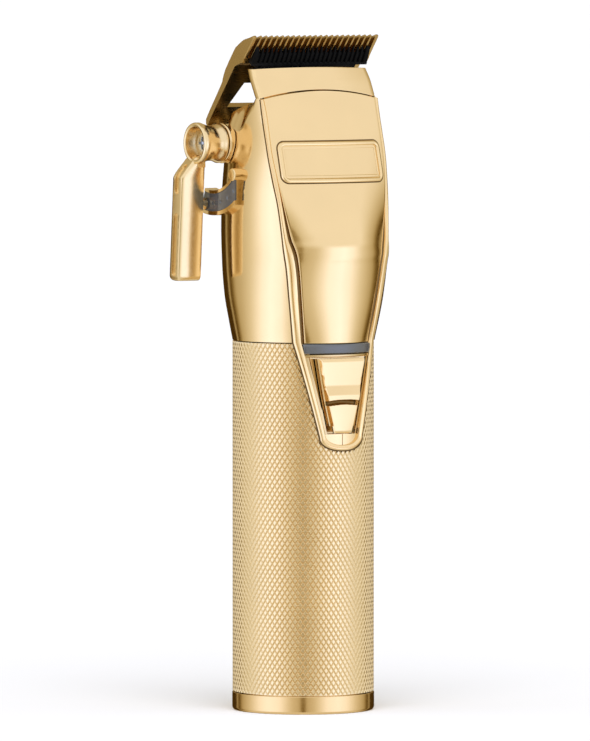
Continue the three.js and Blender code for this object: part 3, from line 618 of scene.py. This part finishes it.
def head_shell():
    """The shell's wall thickens to a slanting facet beside the blade on each side."""
    drop = smooth([(-14, 0), (-5, 0.5), (0, 5.2), (2, 6.6), (5.4, 5.6), (8, 3.8), (10, 1.6), (12, 0)])
    lean = smooth([(-14, 0.12), (-5, 0.12), (-2, 1.8), (2, 3), (5.4, 2.3), (8, 1.1), (12, 0.12)])
    rings = []
    for t in steps(0, 1, 161):
        top = 160.0
        for _ in range(40):     # settles on the height at which the shell meets its upper edge
            top = mix(top, TOP_EDGE(shell_point(min(top, HEAD_TOP), t)[1]), 0.5)
        depth = shell_point(min(top, HEAD_TOP), t)[1]
        outer = [shell_point(z, t) for z in steps(HEAD_BASE, top - drop(depth), 61)]
        lip = shell_point(top, t, lean(depth))
        deep = shell_point(top - 0.3, t, lean(depth) + 1.4)
        inner = [shell_point(z, t, SHELL_WALL) for z in steps(top - 9, HEAD_BASE, 12)]
        rings.append([*outer, lip, deep, *inner])
    bm = surface(rings, wrap=True, caps=True)
    holes = []
    for z in COVER_SCREWS:
        hole = turned([(0, 10), (2.6, 10), (2.6, 30), (0, 30)], 48)
        backward = Matrix.Translation((0, 0, z)) @ Matrix.Rotation(-math.pi / 2, 4, "X")
        holes.append(placed(hole, backward))
    bm = carved(bm, *holes)
    piece("head_shell", bm, polished_gold, replaces=["head_housing"],
          bevel=0.18, angle=40)


def frame_path():
    """Right half of the shield frame from the seam to the tip: outer, inner, inward."""
    path = []
    for z in steps(SEAM_Z - 0.3, HEAD_BASE + 1, 60):
        outer = Vector((OUTER_X(z), OUTER_Y(z), z))
        inner = Vector((INNER_X(z), INNER_Y(z), z))
        across = (inner - outer).normalized()
        path.append((outer, inner, Vector((across.y, -across.x, 0)).normalized()))
    for (ox, oz), (ix, iz) in zip(shield_outline(0), shield_outline(1)):
        outer = Vector((ox, -math.sqrt(SHIELD_R**2 - ox**2), oz))
        inner = Vector((ix, -math.sqrt(SHIELD_R**2 - ix**2), iz))
        path.append((outer, inner, Vector((-ox, -outer.y, 0)).normalized()))
    return path


def mirrored(rows):
    """The rows followed by their mirror image in x, for a path that ends on the middle line."""
    return [*rows, *[[(-p[0], p[1], p[2]) for p in row] for row in reversed(rows[:-1])]]


# Across the frame from its outer edge to its inner edge: share of the width, millimetres more,
# and height above the edges.
FRAME_SECTION = [
    (0.0, 0.35, -1.5), (0.0, 0.0, -0.6), (0.0, 0.0, -0.24), (0.0, 0.06, -0.14), (0.2, 0.0, 0.2),
    (0.38, 0.0, 0.36), (0.46, 0.0, 0.36), (0.49, 0.0, 0.24), (0.53, 0.0, 0.24), (0.56, 0.0, 0.34),
    (0.9, 0.0, 0.2), (1.0, 0.0, 0.04), (1.0, 0.02, -0.1), (1.0, 0.02, -2.4), (1.0, 1.1, -2.5),
    (1.0, 1.1, -2.9), (1.0, 0.0, -2.95),
]


def shield_frame():
    """The frame's bead, with a fine groove along it, and a dark strip around its outer edge as painted
    shadow of the gap.
    """
    rows = []
    for outer, inner, inward in frame_path():
        across = (inner - outer).normalized()
        width = (inner - outer).length
        rows.append([
            outer + across * (share * width + more) - inward * height
            for share, more, height in FRAME_SECTION
        ])
    bm = surface(mirrored(rows), wrap=True, caps=True)
    piece("shield_frame", bm, polished_gold, replaces=["front_frame"], angle=50)
    # dark strip along the outer edge: painted shadow of the gap
    gap = []
    for outer, inner, inward in frame_path():
        across = (inner - outer).normalized()
        gap.append([
            outer + across * more - inward * height
            for more, height in ((-0.15, -0.6), (-0.15, 0.02), (0.12, 0.05), (0.12, -0.6))
        ])
    piece("frame_gap_shadow", surface(mirrored(gap), wrap=True, caps=True), painted_gap_shadow)


# Width of the channel beside the cover at each height: it opens below the badge.
CHANNEL = smooth([
    (HEAD_BASE, 1.0), (122, 1.15), (129, 0.9), (136, 0.5), (144, 0.22), (HEAD_TOP, 0.2),
])


def cover_edge(z):
    """Half width of the cover."""
    return INNER_X(z) - CHANNEL(z)


def cover_channels():
    """Dark sheets in the channels between the cover and the shield frame, painted shade of the channel
    floors.
    """
    for side, name in ((-1, "cover_channel_shade_left"), (1, "cover_channel_shade_right")):
        rows = []
        for z in steps(HEAD_BASE - 0.3, SEAM_Z - 0.3, 60):
            near, far, y = INNER_X(z) + 0.05, cover_edge(z) - 0.3, INNER_Y(z) + 0.45
            rows.append([(side * near, y, z), (side * far, y, z), (side * far, y + 0.8, z),
                         (side * near, y + 0.8, z)])
        piece(name, surface(rows, wrap=True, caps=True), painted_channel_shade)


def cover():
    """Front cover, from the light strip up to the arched seam under the nose."""
    columns = []
    for u in steps(-1, 1, 49):
        top = SEAM_Z - 0.3 + seam_rise(u * 18)
        column = []
        for z in steps(HEAD_BASE - 0.3, top, 111):
            edge = cover_edge(min(z, HEAD_TOP))
            column.append((u * edge, cover_y(u * edge, z, edge), z))
        columns.append(column)
    bm = surface(columns)
    piece("front_cover_panel", bm, polished_gold, replaces=["front_cover"],
          wall=2.2, bevel=0.22, angle=50)


def badge():
    """Plain plate with a raised rim, and a dark strip around it as painted shadow of the gap."""
    middle = (BADGE_Z[0] + BADGE_Z[1]) / 2
    # inset from the outline, height above the cover
    rim = [
        (0.0, -0.6), (0.0, 0.0), (0.06, 0.3), (0.22, 0.5), (0.5, 0.6), (0.85, 0.58), (1.1, 0.42),
        (1.22, 0.05), (1.4, 0.02), (1.75, 0.16), (1.9, 0.1), (2.0, -0.12),
    ]
    rows = []
    for inset, height in rim:
        outline = rounded_rectangle(BADGE_HALF - inset, BADGE_Z[0] + inset, BADGE_Z[1] - inset,
                                    max(0.3, BADGE_CORNER - inset), 10)
        rows.append([(x, cover_y(x, z) - height, z) for x, z in refined(outline, 11)])
    half, tall = BADGE_HALF - rim[-1][0], (BADGE_Z[1] - BADGE_Z[0]) / 2 - rim[-1][0]
    field = []
    for v in steps(-1, 1, 19):
        z = middle + v * tall
        field.append([(u * half, cover_y(u * half, z) + 0.12, z) for u in steps(-1, 1, 61)])
    bm = merged(surface(rows, wrap=True), surface(field))
    bmesh.ops.recalc_face_normals(bm, faces=bm.faces)
    piece("badge_frame", bm, polished_gold, replaces=["badge_plate"], angle=60)
    # dark strip around the plate: painted shadow of the gap
    gap = []
    for inset, height in ((-0.26, -0.4), (-0.26, 0.02), (0.1, 0.04), (0.1, -0.4)):
        outline = rounded_rectangle(BADGE_HALF - inset, BADGE_Z[0] + inset, BADGE_Z[1] - inset,
                                    BADGE_CORNER - inset, 10)
        gap.append([(x, cover_y(x, z) - height, z) for x, z in refined(outline, 11)])
    piece("badge_gap_shadow", surface([*gap, gap[0]], wrap=True), painted_gap_shadow)


def refined(outline, corner_points, long=40, short=12):
    """A rounded rectangle's outline with points added along its four straight edges."""
    points = []
    for i, ((x0, z0), (x1, z1)) in enumerate(zip(outline, [*outline[1:], outline[0]])):
        straight = i % corner_points == corner_points - 1
        pieces = (long if (i // corner_points) % 2 == 0 else short) if straight else 1
        points += [(mix(x0, x1, k / pieces), mix(z0, z1, k / pieces)) for k in range(pieces)]
    return points


def nose():
    """Nose cover over the blade's foot, with a tongue that reaches down behind the seam."""
    # height, half width, and depth at the side edges and at the crown
    levels = [(SEAM_Z, SEAM_HALF, -7.3, -9.0), (168.8, 18.8, -5.2, -6.8), (NOSE_TOP, 18.4, -3.2, -4.7)]
    half_at = smooth([(z, h) for z, h, _, _ in levels])
    edge_at = smooth([(z, e) for z, _, e, _ in levels])
    crown_at = smooth([(z, c) for z, _, _, c in levels])
    corner = 0.8
    rows = []
    for t in steps(0, 1, 25):
        z = mix(SEAM_Z, NOSE_TOP, t)
        half, edge, crown = half_at(z), edge_at(z), crown_at(z)
        rise = mix(SEAM_RISE, 0.4, min(1, t * 1.6))
        row = [(-half, edge + 2.4, z), (-half, edge + 1.4, z)]
        row += [(-half + corner * (1 - math.cos(a)), edge + corner * (1 - math.sin(a)), z)
                for a in (math.radians(d) for d in (0, 18, 36, 54, 72))]
        for u in steps(-1, 1, 41):
            x = u * (half - corner)
            lift = rise * (1 - (x / half) ** 2)
            row.append((x, mix(crown, edge, (x / half) ** 2) + 0.5 * lift, z + lift))
        row += [(-p[0], p[1], p[2]) for p in reversed(row[:7])]
        rows.append(row)
    tongue = []
    for down in (1.8, 0.6, -1.6):
        tongue.append([(x, y + 1.3, z - down) for x, y, z in rows[0][7:-7]])
    bm = merged(outward(surface(rows)), outward(surface(tongue)))
    piece("nose_cover", bm, polished_gold, replaces=["nose_cap"], wall=1.0,
          bevel=0.3, angle=50)


def hoop(section, count):
    """A band around the barrel's front. The section is (radius, height, half width) points."""
    rows = []
    for u in steps(-1, 1, count):
        rows.append([
            (u * edge, -math.sqrt(r * r - (u * edge) ** 2), z) for r, z, edge in section
        ])
    return surface(rows, wrap=True, caps=True)


def light_strip():
    strip = hoop([
        (17.6, 96.6, 10.4), (19.05, 96.6, 10.4), (19.2, 96.85, 10.45), (19.28, 97.9, 10.6),
        (19.2, 98.9, 10.75), (19.05, 99.15, 10.8), (17.6, 99.15, 10.8),
    ], 41)
    piece("status_strip", strip, smoked, replaces=["light_strip"],
          bevel=0.12, angle=40)


# ---------------------------------------------------------------- switch


def tray_half(z):
    """Half width between the frame's inner edges beside the switch."""
    return mix(SHIELD_LOW[1], SHIELD_TOP[1], (z - TIP_TOP) / (HEAD_BASE - TIP_TOP))


def front_y(x):
    """Depth of the shield's round front surface at x."""
    return -math.sqrt(SHIELD_R**2 - x * x)


def switch_tray():
    """Stepped walls inside the shield frame, the floor under the switch and the flat tip below it."""
    # inset from the frame's inner edge, and depth behind the shield's surface
    section = [(-0.3, 0.9), (0.02, 0.3), (0.3, 0.35), (0.5, 0.85), (0.9, 0.9), (1.1, 1.5),
               (1.4, 1.55), (1.5, 2.9), (1.5, 4.4)]
    walls = []
    for side in (-1, 1):
        rows = []
        for z in steps(TIP_TOP, TRAY_TOP, 12):
            half = tray_half(z)
            rows.append([
                (side * (half - inset), front_y(half - inset) + depth, z)
                for inset, depth in section
            ])
        walls.append(surface(rows))
    floor = []
    for z in steps(TIP_TOP - 1, TRAY_TOP, 24):
        half = tray_half(z) - section[-1][0]
        floor.append([(x, TRAY_FLOOR, z) for x in steps(-half, half, 9)])
    tip = []
    for z in steps(TIP_END, TIP_TOP, 12):
        share = min(1.0, (TIP_TOP - z) / (TIP_TOP - TIP_END))
        half = (tray_half(TIP_TOP) + 0.2) * math.sqrt(max(0.0, 1 - share**2.4)) + 0.05
        # a fine line runs down the middle
        columns = [*steps(-half, -0.1, 12), -0.05, 0.05, *steps(0.1, half, 12)]
        tip.append([(x, front_y(x) + (0.9 if abs(x) < 0.06 else 0.62), z) for x in columns])
    tip.append([(x, TRAY_FLOOR, z) for x, _, z in tip[-1]])
    ledge = hoop([(17, 95.6, 10.0), (18.75, 95.6, 10.05), (18.95, 95.8, 10.1),
                  (18.95, 96.25, 10.25), (18.75, 96.45, 10.3), (17, 96.45, 10.3)], 33)
    piece("switch_tip", surface(tip), polished_gold, wall=0.3, angle=35)
    bm = merged(*walls, surface(floor), ledge)
    # the tray's walls, floor and ledge take the darker gold, painted shade of the recess
    piece("switch_tray", bm, painted_shade_gold, replaces=["switch_bed"], angle=35)


def power_switch():
    """Sliding switch: a crowned thumb piece with a lip, and a dark sheet in the crescent groove below the
    lip as its painted shade.
    """
    crest = smooth([(SWITCH_FOOT, 2.6), (84, 4.75), (88.3, 5.6), (SWITCH_TOP, 6.9)])
    foot = smooth([(SWITCH_FOOT, 3.15), (84, 5.3), (88.3, 6.2), (SWITCH_TOP, 7.5)])
    face = smooth([
        (75.2, -18.7), (75.7, -19.2), (79, -19.35), (82.6, -19.35), (82.75, -17.4), (83.7, -17.4),
        (84.0, -19.7), (85.2, -19.75), (86.6, -19.35), (88.4, -18.95), (91, -19.1),
        (94.4, -19.3), (95.3, -18.9),
    ])
    levels = sorted([
        *steps(SWITCH_FOOT, 82.2, 16), FOOT_END - 0.05, FOOT_END + 0.05, *steps(82.3, 84.6, 24),
        *steps(84.8, 88.4, 14), *steps(88.8, SWITCH_TOP, 18),
    ])
    rows = []
    for z in levels:
        top, base = crest(z), foot(z)
        # below its foot the slider is a thin tongue that passes over the tray's tip
        deep = -16.6 if z > FOOT_END else -18.9
        upper = -18.95 if abs(z - 83.2) > 0.6 else -17.6
        flank = [(-base, deep), (-base, -17.0), (-base + 0.05, -17.75), (-top - 0.25, -17.95),
                 (-top - 0.12, upper)]
        side = [(x, min(y, deep), z) for x, y in flank]
        row = list(side)
        for u in steps(-1, 1, 33):
            bow = 0.4 * (1 - u * u)
            depth = face(z - bow * arch(z)) - 0.18 * (1 - u * u)
            row.append((u * top, depth, z))
        row += [(-x, y, z) for x, y, z in reversed(side)]
        rows.append(row)
    bm = surface(rows, wrap=True, caps=True)
    piece("power_switch", bm, polished_gold, body="slider",
          replaces=["power_slider"], bevel=0.14, segments=2, angle=38)
    # dark sheet laid in the groove: painted shade
    groove = []
    for z in (82.65, 83.75):
        groove.append([(u * crest(z), -18.1, z + 0.4 * (1 - u * u)) for u in steps(-1, 1, 15)])
    piece("switch_groove_shade", surface(groove), painted_channel_shade, body="slider", wall=0.6)


def arch(z):
    """How strongly the crescent bows at height z: full at the groove, none at the ends."""
    return max(0.0, 1 - abs(z - 83.6) / 3.2)


# ---------------------------------------------------------------- lever


def lever_space():
    """Lever frame: x up, y to the back, z out of the -X side, with its origin on the pivot."""
    turn = Matrix(((0, 0, -1), (0, 1, 0), (1, 0, 0))).to_4x4()
    return Matrix.Translation((0, PIVOT[0], PIVOT[1])) @ turn


# How far out the handle's outer face stands at each height: its top end is cut back by a chamfer.
HANDLE_OUTER = smooth([(-36.9, 32.2), (-9.4, 32.2), (-8.8, 32.0), (-4.3, 28.4), (-3.0, 27.5)])


def handle_shift(height):
    """How far the leaning handle is set back at a height."""
    return (-10 - height) * HANDLE_LEAN


def handle():
    rows = []
    levels = [(-36.95, 1.2), (-36.8, 0.7), (-36.5, 0.35), (-36.1, 0.12), (-35.6, 0)]
    levels += [(h, 0) for h in steps(-34, -10, 14)]
    levels += [(-9.6, 0), (-9.3, 0), (-9.0, 0), (-8.6, 0), (-8, 0), (-7, 0), (-6, 0), (-5, 0),
               (-4.3, 0.0), (-3.7, 0.25), (-3.2, 0.7)]
    for height, inset in levels:
        front = 0.55 + handle_shift(height) + inset
        back = 5.5 + handle_shift(height) - inset
        outer = HANDLE_OUTER(height) - inset * 0.8
        row = []
        for k in range(13):
            a = math.pi * k / 12
            bulge = math.sin(a) ** 0.8 if k < 6 else 1 - ((k - 6) / 6) ** 3
            row.append((front - 0.45 * bulge, mix(outer - 0.35, HANDLE_INNER + 0.05, k / 12)))
        row += [(front + 0.12, HANDLE_INNER), (back - 0.9, HANDLE_INNER),
                (back - 0.25, HANDLE_INNER + 0.25), (back, HANDLE_INNER + 0.9),
                (back, outer - 0.9), (back - 0.25, outer - 0.25), (back - 0.9, outer),
                (front + 0.55, outer), (front + 0.2, outer - 0.1)]
        rows.append([(height, y, z) for y, z in row])
    return surface(rows, wrap=True, caps=True)


def racetrack_cut(low, high, half, depth):
    """A long round-ended pocket that follows the handle's outer face."""
    rows = []
    for t in steps(0, math.pi, 41):
        height = mix(low, high, (1 - math.cos(t)) / 2)
        near = min(height - low, high - height)
        wide = half if near > half else math.sqrt(max(0.0, half**2 - (half - near) ** 2))
        wide = max(wide, 0.02)
        centre = 2.75 + handle_shift(height)
        z = HANDLE_OUTER(height)
        rows.append([(height, centre - wide, z - depth), (height, centre + wide, z - depth),
                     (height, centre + wide, z + 1), (height, centre - wide, z + 1)])
    return surface(rows, wrap=True, caps=True)


def lever():
    """Hub with a faceted waist and a cup for the screw, the handle, its nib and the web between."""
    hub_profile = [
        (1.4, 20.9), (5.2, 20.9), (5.4, 21.05), (5.4, 21.35), (5.05, 22.2), (4.8, 23.1), (4.75, 24),
        (4.85, 25), (5.15, 26), (5.45, 26.8), (5.57, 27.2), (5.57, 28.2), (5.45, 28.5), (5.1, 28.7),
        (4.7, 28.66), (4.5, 28.5), (4.3, 27.4), (4.0, 25.2), (3.7, 24.7), (1.4, 24.7),
    ]
    rows = []
    count = 96
    for k in range(count + 1):
        a = 2 * math.pi * k / count
        row = []
        for r, z in hub_profile:
            waist = max(0.0, 1 - abs(z - 23.9) / 2.4) if r > 2 else 0.0
            flat = r * (1 - 0.05 * waist * (1 - math.cos(4 * a)))
            row.append((flat * math.cos(a), flat * math.sin(a), z))
        rows.append(row)
    hub = surface(rows, wrap=True)
    grip_part = carved(handle(), racetrack_cut(-35.7, -18.7, 1.15, 0.6),
                       racetrack_cut(-13.6, -5.6, 1.05, 0.6))
    nib = turned([(0, 22.8), (1.35, 22.8), (1.6, 23.05), (1.6, 26), (0, 26)], 40)
    placed(nib, Matrix.Translation((-16.3, 3.4, 0)))
    web = surface([[(h, y, z) for y, z in ((-0.6, 25.4), (3.6, 25.4), (3.6, 27.6), (-0.6, 27.6))]
                   for h in (-6.5, -3.8)], wrap=True, caps=True)
    space = lever_space()
    bm = placed(merged(hub, grip_part, nib, web), space)
    # the lever takes the paler gold, painted light
    piece("taper_lever_arm", bm, painted_light_lever_gold, body="lever",
          replaces=["taper_lever"], bevel=0.14, angle=34)
    screw = turned([(0, 24), (2.9, 24), (2.9, 25.2), (2.75, 25.5), (2.2, 25.85), (1.2, 26.1),
                    (0, 26.15)], 64)
    screw = carved(screw, block((-1.7, 1.7), (-0.36, 0.36), (25.1, 28)),
                   block((-0.36, 0.36), (-1.7, 1.7), (25.1, 28)))
    piece("lever_cross_screw", placed(screw, space), chrome, body="lever",
          replaces=["lever_screw"], bevel=0.06, segments=2)


def sector(r0, r1, start, end, z0, z1):
    """A slice of a ring. Its angles are degrees from straight below the pivot towards the front."""

    def arc(r, a, b):
        return [(-r * math.cos(math.radians(d)), -r * math.sin(math.radians(d)))
                for d in steps(a, b, 48)]

    return prism([*arc(r1, start, end), *arc(r0, end, start)], z0, z1)


def front_cut():
    """Ends the detent sector on an upright line in front of the pivot."""
    return block((-30, 10), (-40, -10.5), (10, 30))


def detents():
    """Detent sector with its boss, the dark inlay with four dimples and the collar on the pivot."""
    space = lever_space()
    plate = carved(
        sector(12.7, 19.4, -17, 70, 19.0, SECTOR_FACE), front_cut(),
        sector(13.5, 18.4, -20, 75, SECTOR_FACE - 0.75, SECTOR_FACE + 1),
    )
    boss = turned([(0, 19), (1.7, 19), (1.7, 22.8), (1.5, 23), (0, 23)], 40)
    angle = math.radians(49)
    placed(boss, Matrix.Translation((-12.6 * math.cos(angle), -12.6 * math.sin(angle), 0)))
    bm = placed(merged(plate, boss), space)
    piece("detent_plate", bm, polished_gold, replaces=["detent_sector"],
          bevel=0.16, angle=38)
    dimples = []
    for i in range(1, 5):
        a = math.radians(-11.5 + i * 12.5)
        dimple = turned([(0, SECTOR_FACE - 0.4), (0.5, SECTOR_FACE - 0.34), (0.9, SECTOR_FACE - 0.05),
                         (0.95, SECTOR_FACE + 1), (0, SECTOR_FACE + 1)], 28)
        there = (-DETENT_R * math.cos(a), -DETENT_R * math.sin(a), 0)
        dimples.append(placed(dimple, Matrix.Translation(there)))
    inlay = carved(sector(13.6, 18.3, -16.9, 70, SECTOR_FACE - 0.6, SECTOR_FACE - 0.08),
                   front_cut(), *dimples)
    piece("detent_inlay", placed(inlay, space), smoked,
          replaces=["detent_insert"], bevel=0.08, segments=2, angle=38)
    collar = turned([(2.9, 15.8), (5.5, 15.8), (5.5, 19.9), (5.35, 20.35), (5.0, 20.6), (2.9, 20.6)], 80)
    piece("pivot_collar", placed(collar, space), polished_gold,
          replaces=["lever_bushing"], bevel=0.1, segments=2, angle=50)


# ---------------------------------------------------------------- blades


def blade_space():
    """Blade frame: x across, y away from the cutter, -z from the tooth tips to the heel."""
    return Matrix.Translation(BLADE_TIPS) @ Matrix.Rotation(BLADE_TILT, 4, "X")


THICKNESS = smooth([
    (0, 0.7), (1.5, 1.7), (4.6, 3.9), (8.8, 5.1), (15, 5.0), (18.5, 4.3), (19, 4.0), (32, 3.5), (33, 2.6),
])


def tooth(x, root, tip, length, lift):
    """One tapered tooth from its root to its rounded tip. lift gives its two faces at s."""
    rows = []
    for t in steps(0, 1, 13):
        s = length * (1 - t)
        half = mix(root, tip, t**1.3) * (1.0 if s > 0.25 else 0.7)
        near, far = lift(max(s, 0.0))
        edge = min(0.16, half * 0.4)
        rows.append([
            (x - half, near + edge, -s), (x - half + edge, near, -s), (x + half - edge, near, -s),
            (x + half, near + edge, -s), (x + half, far - edge, -s), (x + half - edge, far, -s),
            (x - half + edge, far, -s), (x - half, far - edge, -s),
        ])
    return surface(rows, wrap=True, caps=True)


def fixed_blade():
    """Fixed blade: hollow body with two windows and two screw holes, and its row of teeth."""

    def lift(s):
        return 0.0, max(0.45, THICKNESS(s))

    root = (BLADE_PITCH - 1.0) / 2 + 0.06
    parts = []
    for i in range(BLADE_SLOTS - 1):
        x = (i - (BLADE_SLOTS - 2) / 2) * BLADE_PITCH
        parts.append(tooth(x, root, 0.24, TOOTH_LENGTH, lift))
    side = (BLADE_SLOTS - 1) / 2 * BLADE_PITCH + 0.5
    for sign in (-1, 1):
        middle, half = sign * (side + BLADE_HALF) / 2, (BLADE_HALF - side) / 2
        parts.append(tooth(middle, half, half * 0.8, TOOTH_LENGTH, lift))
    body_steps = [7.4, *steps(7.6, 18.5, 14), 19, *steps(20, 32, 8), 32.6, 33]
    outline = [(THICKNESS(s), -s) for s in body_steps]
    outline = [(0, -7.4), *outline, (1.7, -BLADE_HEEL), (2.0, -31.5), (2.1, -12), (0.4, -9.4), (0, -9.2)]
    body = prism(outline, -BLADE_HALF, BLADE_HALF, "x")
    cuts = []
    for sign in (-1, 1):
        window = [(sign * x, z) for x, z in ((3.5, -18), (14.6, -18), (16.6, -26.5), (3.5, -26.5))]
        cuts.append(prism(window, -1, 8, "y"))
        bore = turned([(0, -2), (1.6, -2), (1.6, 2), (2.9, 2), (2.9, 8), (0, 8)], 48)
        turn = Matrix.Rotation(-math.pi / 2, 4, "X")
        cuts.append(placed(bore, Matrix.Translation((sign * BLADE_SCREW[0], 0, -BLADE_SCREW[1])) @ turn))
    body = carved(body, *cuts)
    bm = placed(merged(body, *parts), blade_space())
    piece("fixed_blade_comb", bm, blade_gold, replaces=["fixed_blade"],
          bevel=0.1, segments=2, angle=40)


def cutter():
    """Moving cutter: its row of teeth, the ridged band they stand on and a narrower foot."""
    face = smooth([(CUTTER_SETBACK, 0.25), (3.8, 0.9), (8.1, 2.15)])

    def lift(s):
        return -face(s + CUTTER_SETBACK), -0.25

    parts = []
    root = (CUTTER_PITCH - 0.7) / 2 + 0.02
    for i in range(CUTTER_SLOTS - 1):
        x = (i - (CUTTER_SLOTS - 2) / 2) * CUTTER_PITCH
        parts.append(tooth(x, root, 0.2, CUTTER_TOOTH, lift))
    side = (CUTTER_SLOTS - 1) / 2 * CUTTER_PITCH + 0.35
    for sign in (-1, 1):
        middle, half = sign * (side + CUTTER_HALF) / 2, (CUTTER_HALF - side) / 2
        parts.append(tooth(middle, half, half * 0.8, CUTTER_TOOTH, lift))
    teeth = placed(merged(*parts), Matrix.Translation((0, 0, -CUTTER_SETBACK)))
    floor = prism([(-0.25, -7.2), (-0.9, -7.2), (-1.1, -7.35), (-1.2, -7.5), (-2.0, -7.6),
                   (-2.1, -8.3), (-0.25, -8.3)], -CUTTER_HALF, CUTTER_HALF, "x")
    ridge_web = prism([(-0.25, -3.9), (-0.55, -3.9), (-1.3, -7.4), (-0.25, -7.4)],
                      -CUTTER_HALF + 0.3, CUTTER_HALF - 0.3, "x")
    ridge_web = carved(ridge_web, block((-30, 30), (-4, 1), (-5.2, 0)))
    body = block((-15.7, 15.7), (-1.4, -0.25), (-12.5, -8.2))
    foot = block((-11, 11), (-1.4, -0.25), (-21, -12.3))
    band = block((-15.0, 15.0), (-2.1, -0.25), (-11.0, -8.2))
    bm = placed(merged(teeth, floor, ridge_web, body, foot, band), blade_space())
    piece("moving_comb", bm, black_steel, body="cutter", replaces=["moving_cutter"],
          bevel=0.06, segments=2, angle=40)


# ---------------------------------------------------------------- studio


def studio():
    """A room of upright light and dark bands around the camera's axis, and a soft key light."""
    world = bpy.data.worlds.new("studio")
    bpy.context.scene.world = world
    world.use_nodes = True
    tree = world.node_tree
    tree.nodes.clear()
    n = Nodes(tree)
    ray = n.add("ShaderNodeTexCoord").outputs["Generated"]
    turn = n.add("ShaderNodeVectorRotate", {"Vector": ray, "Angle": CAMERA_AZIMUTH},
                 rotation_type="Z_AXIS").outputs[0]
    split = n.add("ShaderNodeSeparateXYZ", {0: turn})
    toward = n.math("MULTIPLY", split.outputs["Y"], -1.0)
    around = n.math("ARCTAN2", split.outputs["X"], toward)
    share = n.math("DIVIDE", n.math("ABSOLUTE", around), math.pi)
    band = n.ramp(share, [
        (0.0, 0.05), (0.016, 0.07), (0.03, 0.2), (0.10, 0.25), (0.22, 0.46), (0.33, 0.5),
        (0.42, 0.44), (0.53, 0.28), (0.65, 0.155), (0.69, 0.05), (0.72, 0.012), (0.755, 0.15),
        (0.775, 0.01), (0.94, 0.01), (1.0, 0.04),
    ])
    height = n.math("ADD", n.math("MULTIPLY", split.outputs["Z"], 0.5), 0.5)
    upper = n.ramp(height, [(0.53, 0.0), (0.63, 1.0)])
    lower = n.ramp(height, [(0.16, 1.0), (0.30, 0.0)])
    ceiling = n.ramp(share, [(0.52, 0.345), (0.7, 0.15)])
    over = n.colour_mix(upper, band, ceiling)
    whole = n.math("MULTIPLY", n.colour_mix(lower, over, grey(0.27)), 3.0)
    # dark parts of the room are warm and bright ones are cool
    tinted = n.add("ShaderNodeCombineColor", {
        "Red": n.math("POWER", whole, 0.8), "Green": whole, "Blue": n.math("POWER", whole, 1.6),
    }).outputs[0]
    lit = n.add("ShaderNodeBackground", {"Color": tinted, "Strength": 1.0}).outputs[0]
    seen = n.add("ShaderNodeBackground", {"Color": grey((0.93, 0.93, 0.925)), "Strength": 1.0}).outputs[0]
    camera_ray = n.add("ShaderNodeLightPath").outputs["Is Camera Ray"]
    both = n.add("ShaderNodeMixShader", {0: camera_ray, 1: lit, 2: seen}).outputs[0]
    n.add("ShaderNodeOutputWorld", {0: both})

    key = bpy.data.lights.new("key", "SUN")
    key.angle = math.radians(50)
    key.energy = 1.5
    key_object = bpy.data.objects.new("key", key)
    key_object.rotation_mode = "QUATERNION"
    key_object.rotation_quaternion = Vector((0.35, 0.6, -1)).to_track_quat("-Z", "Y")
    key_object.visible_glossy = False
    bpy.context.scene.collection.objects.link(key_object)


def floor():
    bm = bmesh.new()
    bmesh.ops.create_circle(bm, cap_ends=True, segments=96, radius=30.0)
    mesh = bpy.data.meshes.new("floor")
    bm.to_mesh(mesh)
    bm.free()
    obj = bpy.data.objects.new("floor", mesh)
    bpy.context.scene.collection.objects.link(obj)
    mesh.materials.append(finish("paper", (0.84, 0.86, 0.93), 0.0, (0.7, 0.85), grain=1400,
                                 bump=0.05, blotch=3.0, vary=0.006, Specular_IOR_Level=0.0))
    obj.visible_glossy = False


def camera():
    data = bpy.data.cameras.new("camera")
    data.lens = CAMERA_LENS
    obj = bpy.data.objects.new("camera", data)
    c, s = math.cos(CAMERA_AZIMUTH), math.sin(CAMERA_AZIMUTH)
    right, up = CAMERA_TARGET
    target = Vector((right * c, -right * s, up)) * MM
    back = Vector((-s * math.cos(CAMERA_ELEVATION), -c * math.cos(CAMERA_ELEVATION),
                   math.sin(CAMERA_ELEVATION)))
    obj.location = target + back * CAMERA_DISTANCE * MM
    obj.rotation_mode = "QUATERNION"
    obj.rotation_quaternion = (-back).to_track_quat("-Z", "Y")
    data.clip_end = 100
    bpy.context.scene.collection.objects.link(obj)
    bpy.context.scene.camera = obj
    bpy.context.scene.view_settings.view_transform = "Standard"


paint_frame()
grip()
end_cap()
head_shell()
shield_frame()
cover_channels()
cover()
badge()
nose()
light_strip()
switch_tray()
power_switch()
lever()
detents()
fixed_blade()
cutter()
studio()
floor()
camera()
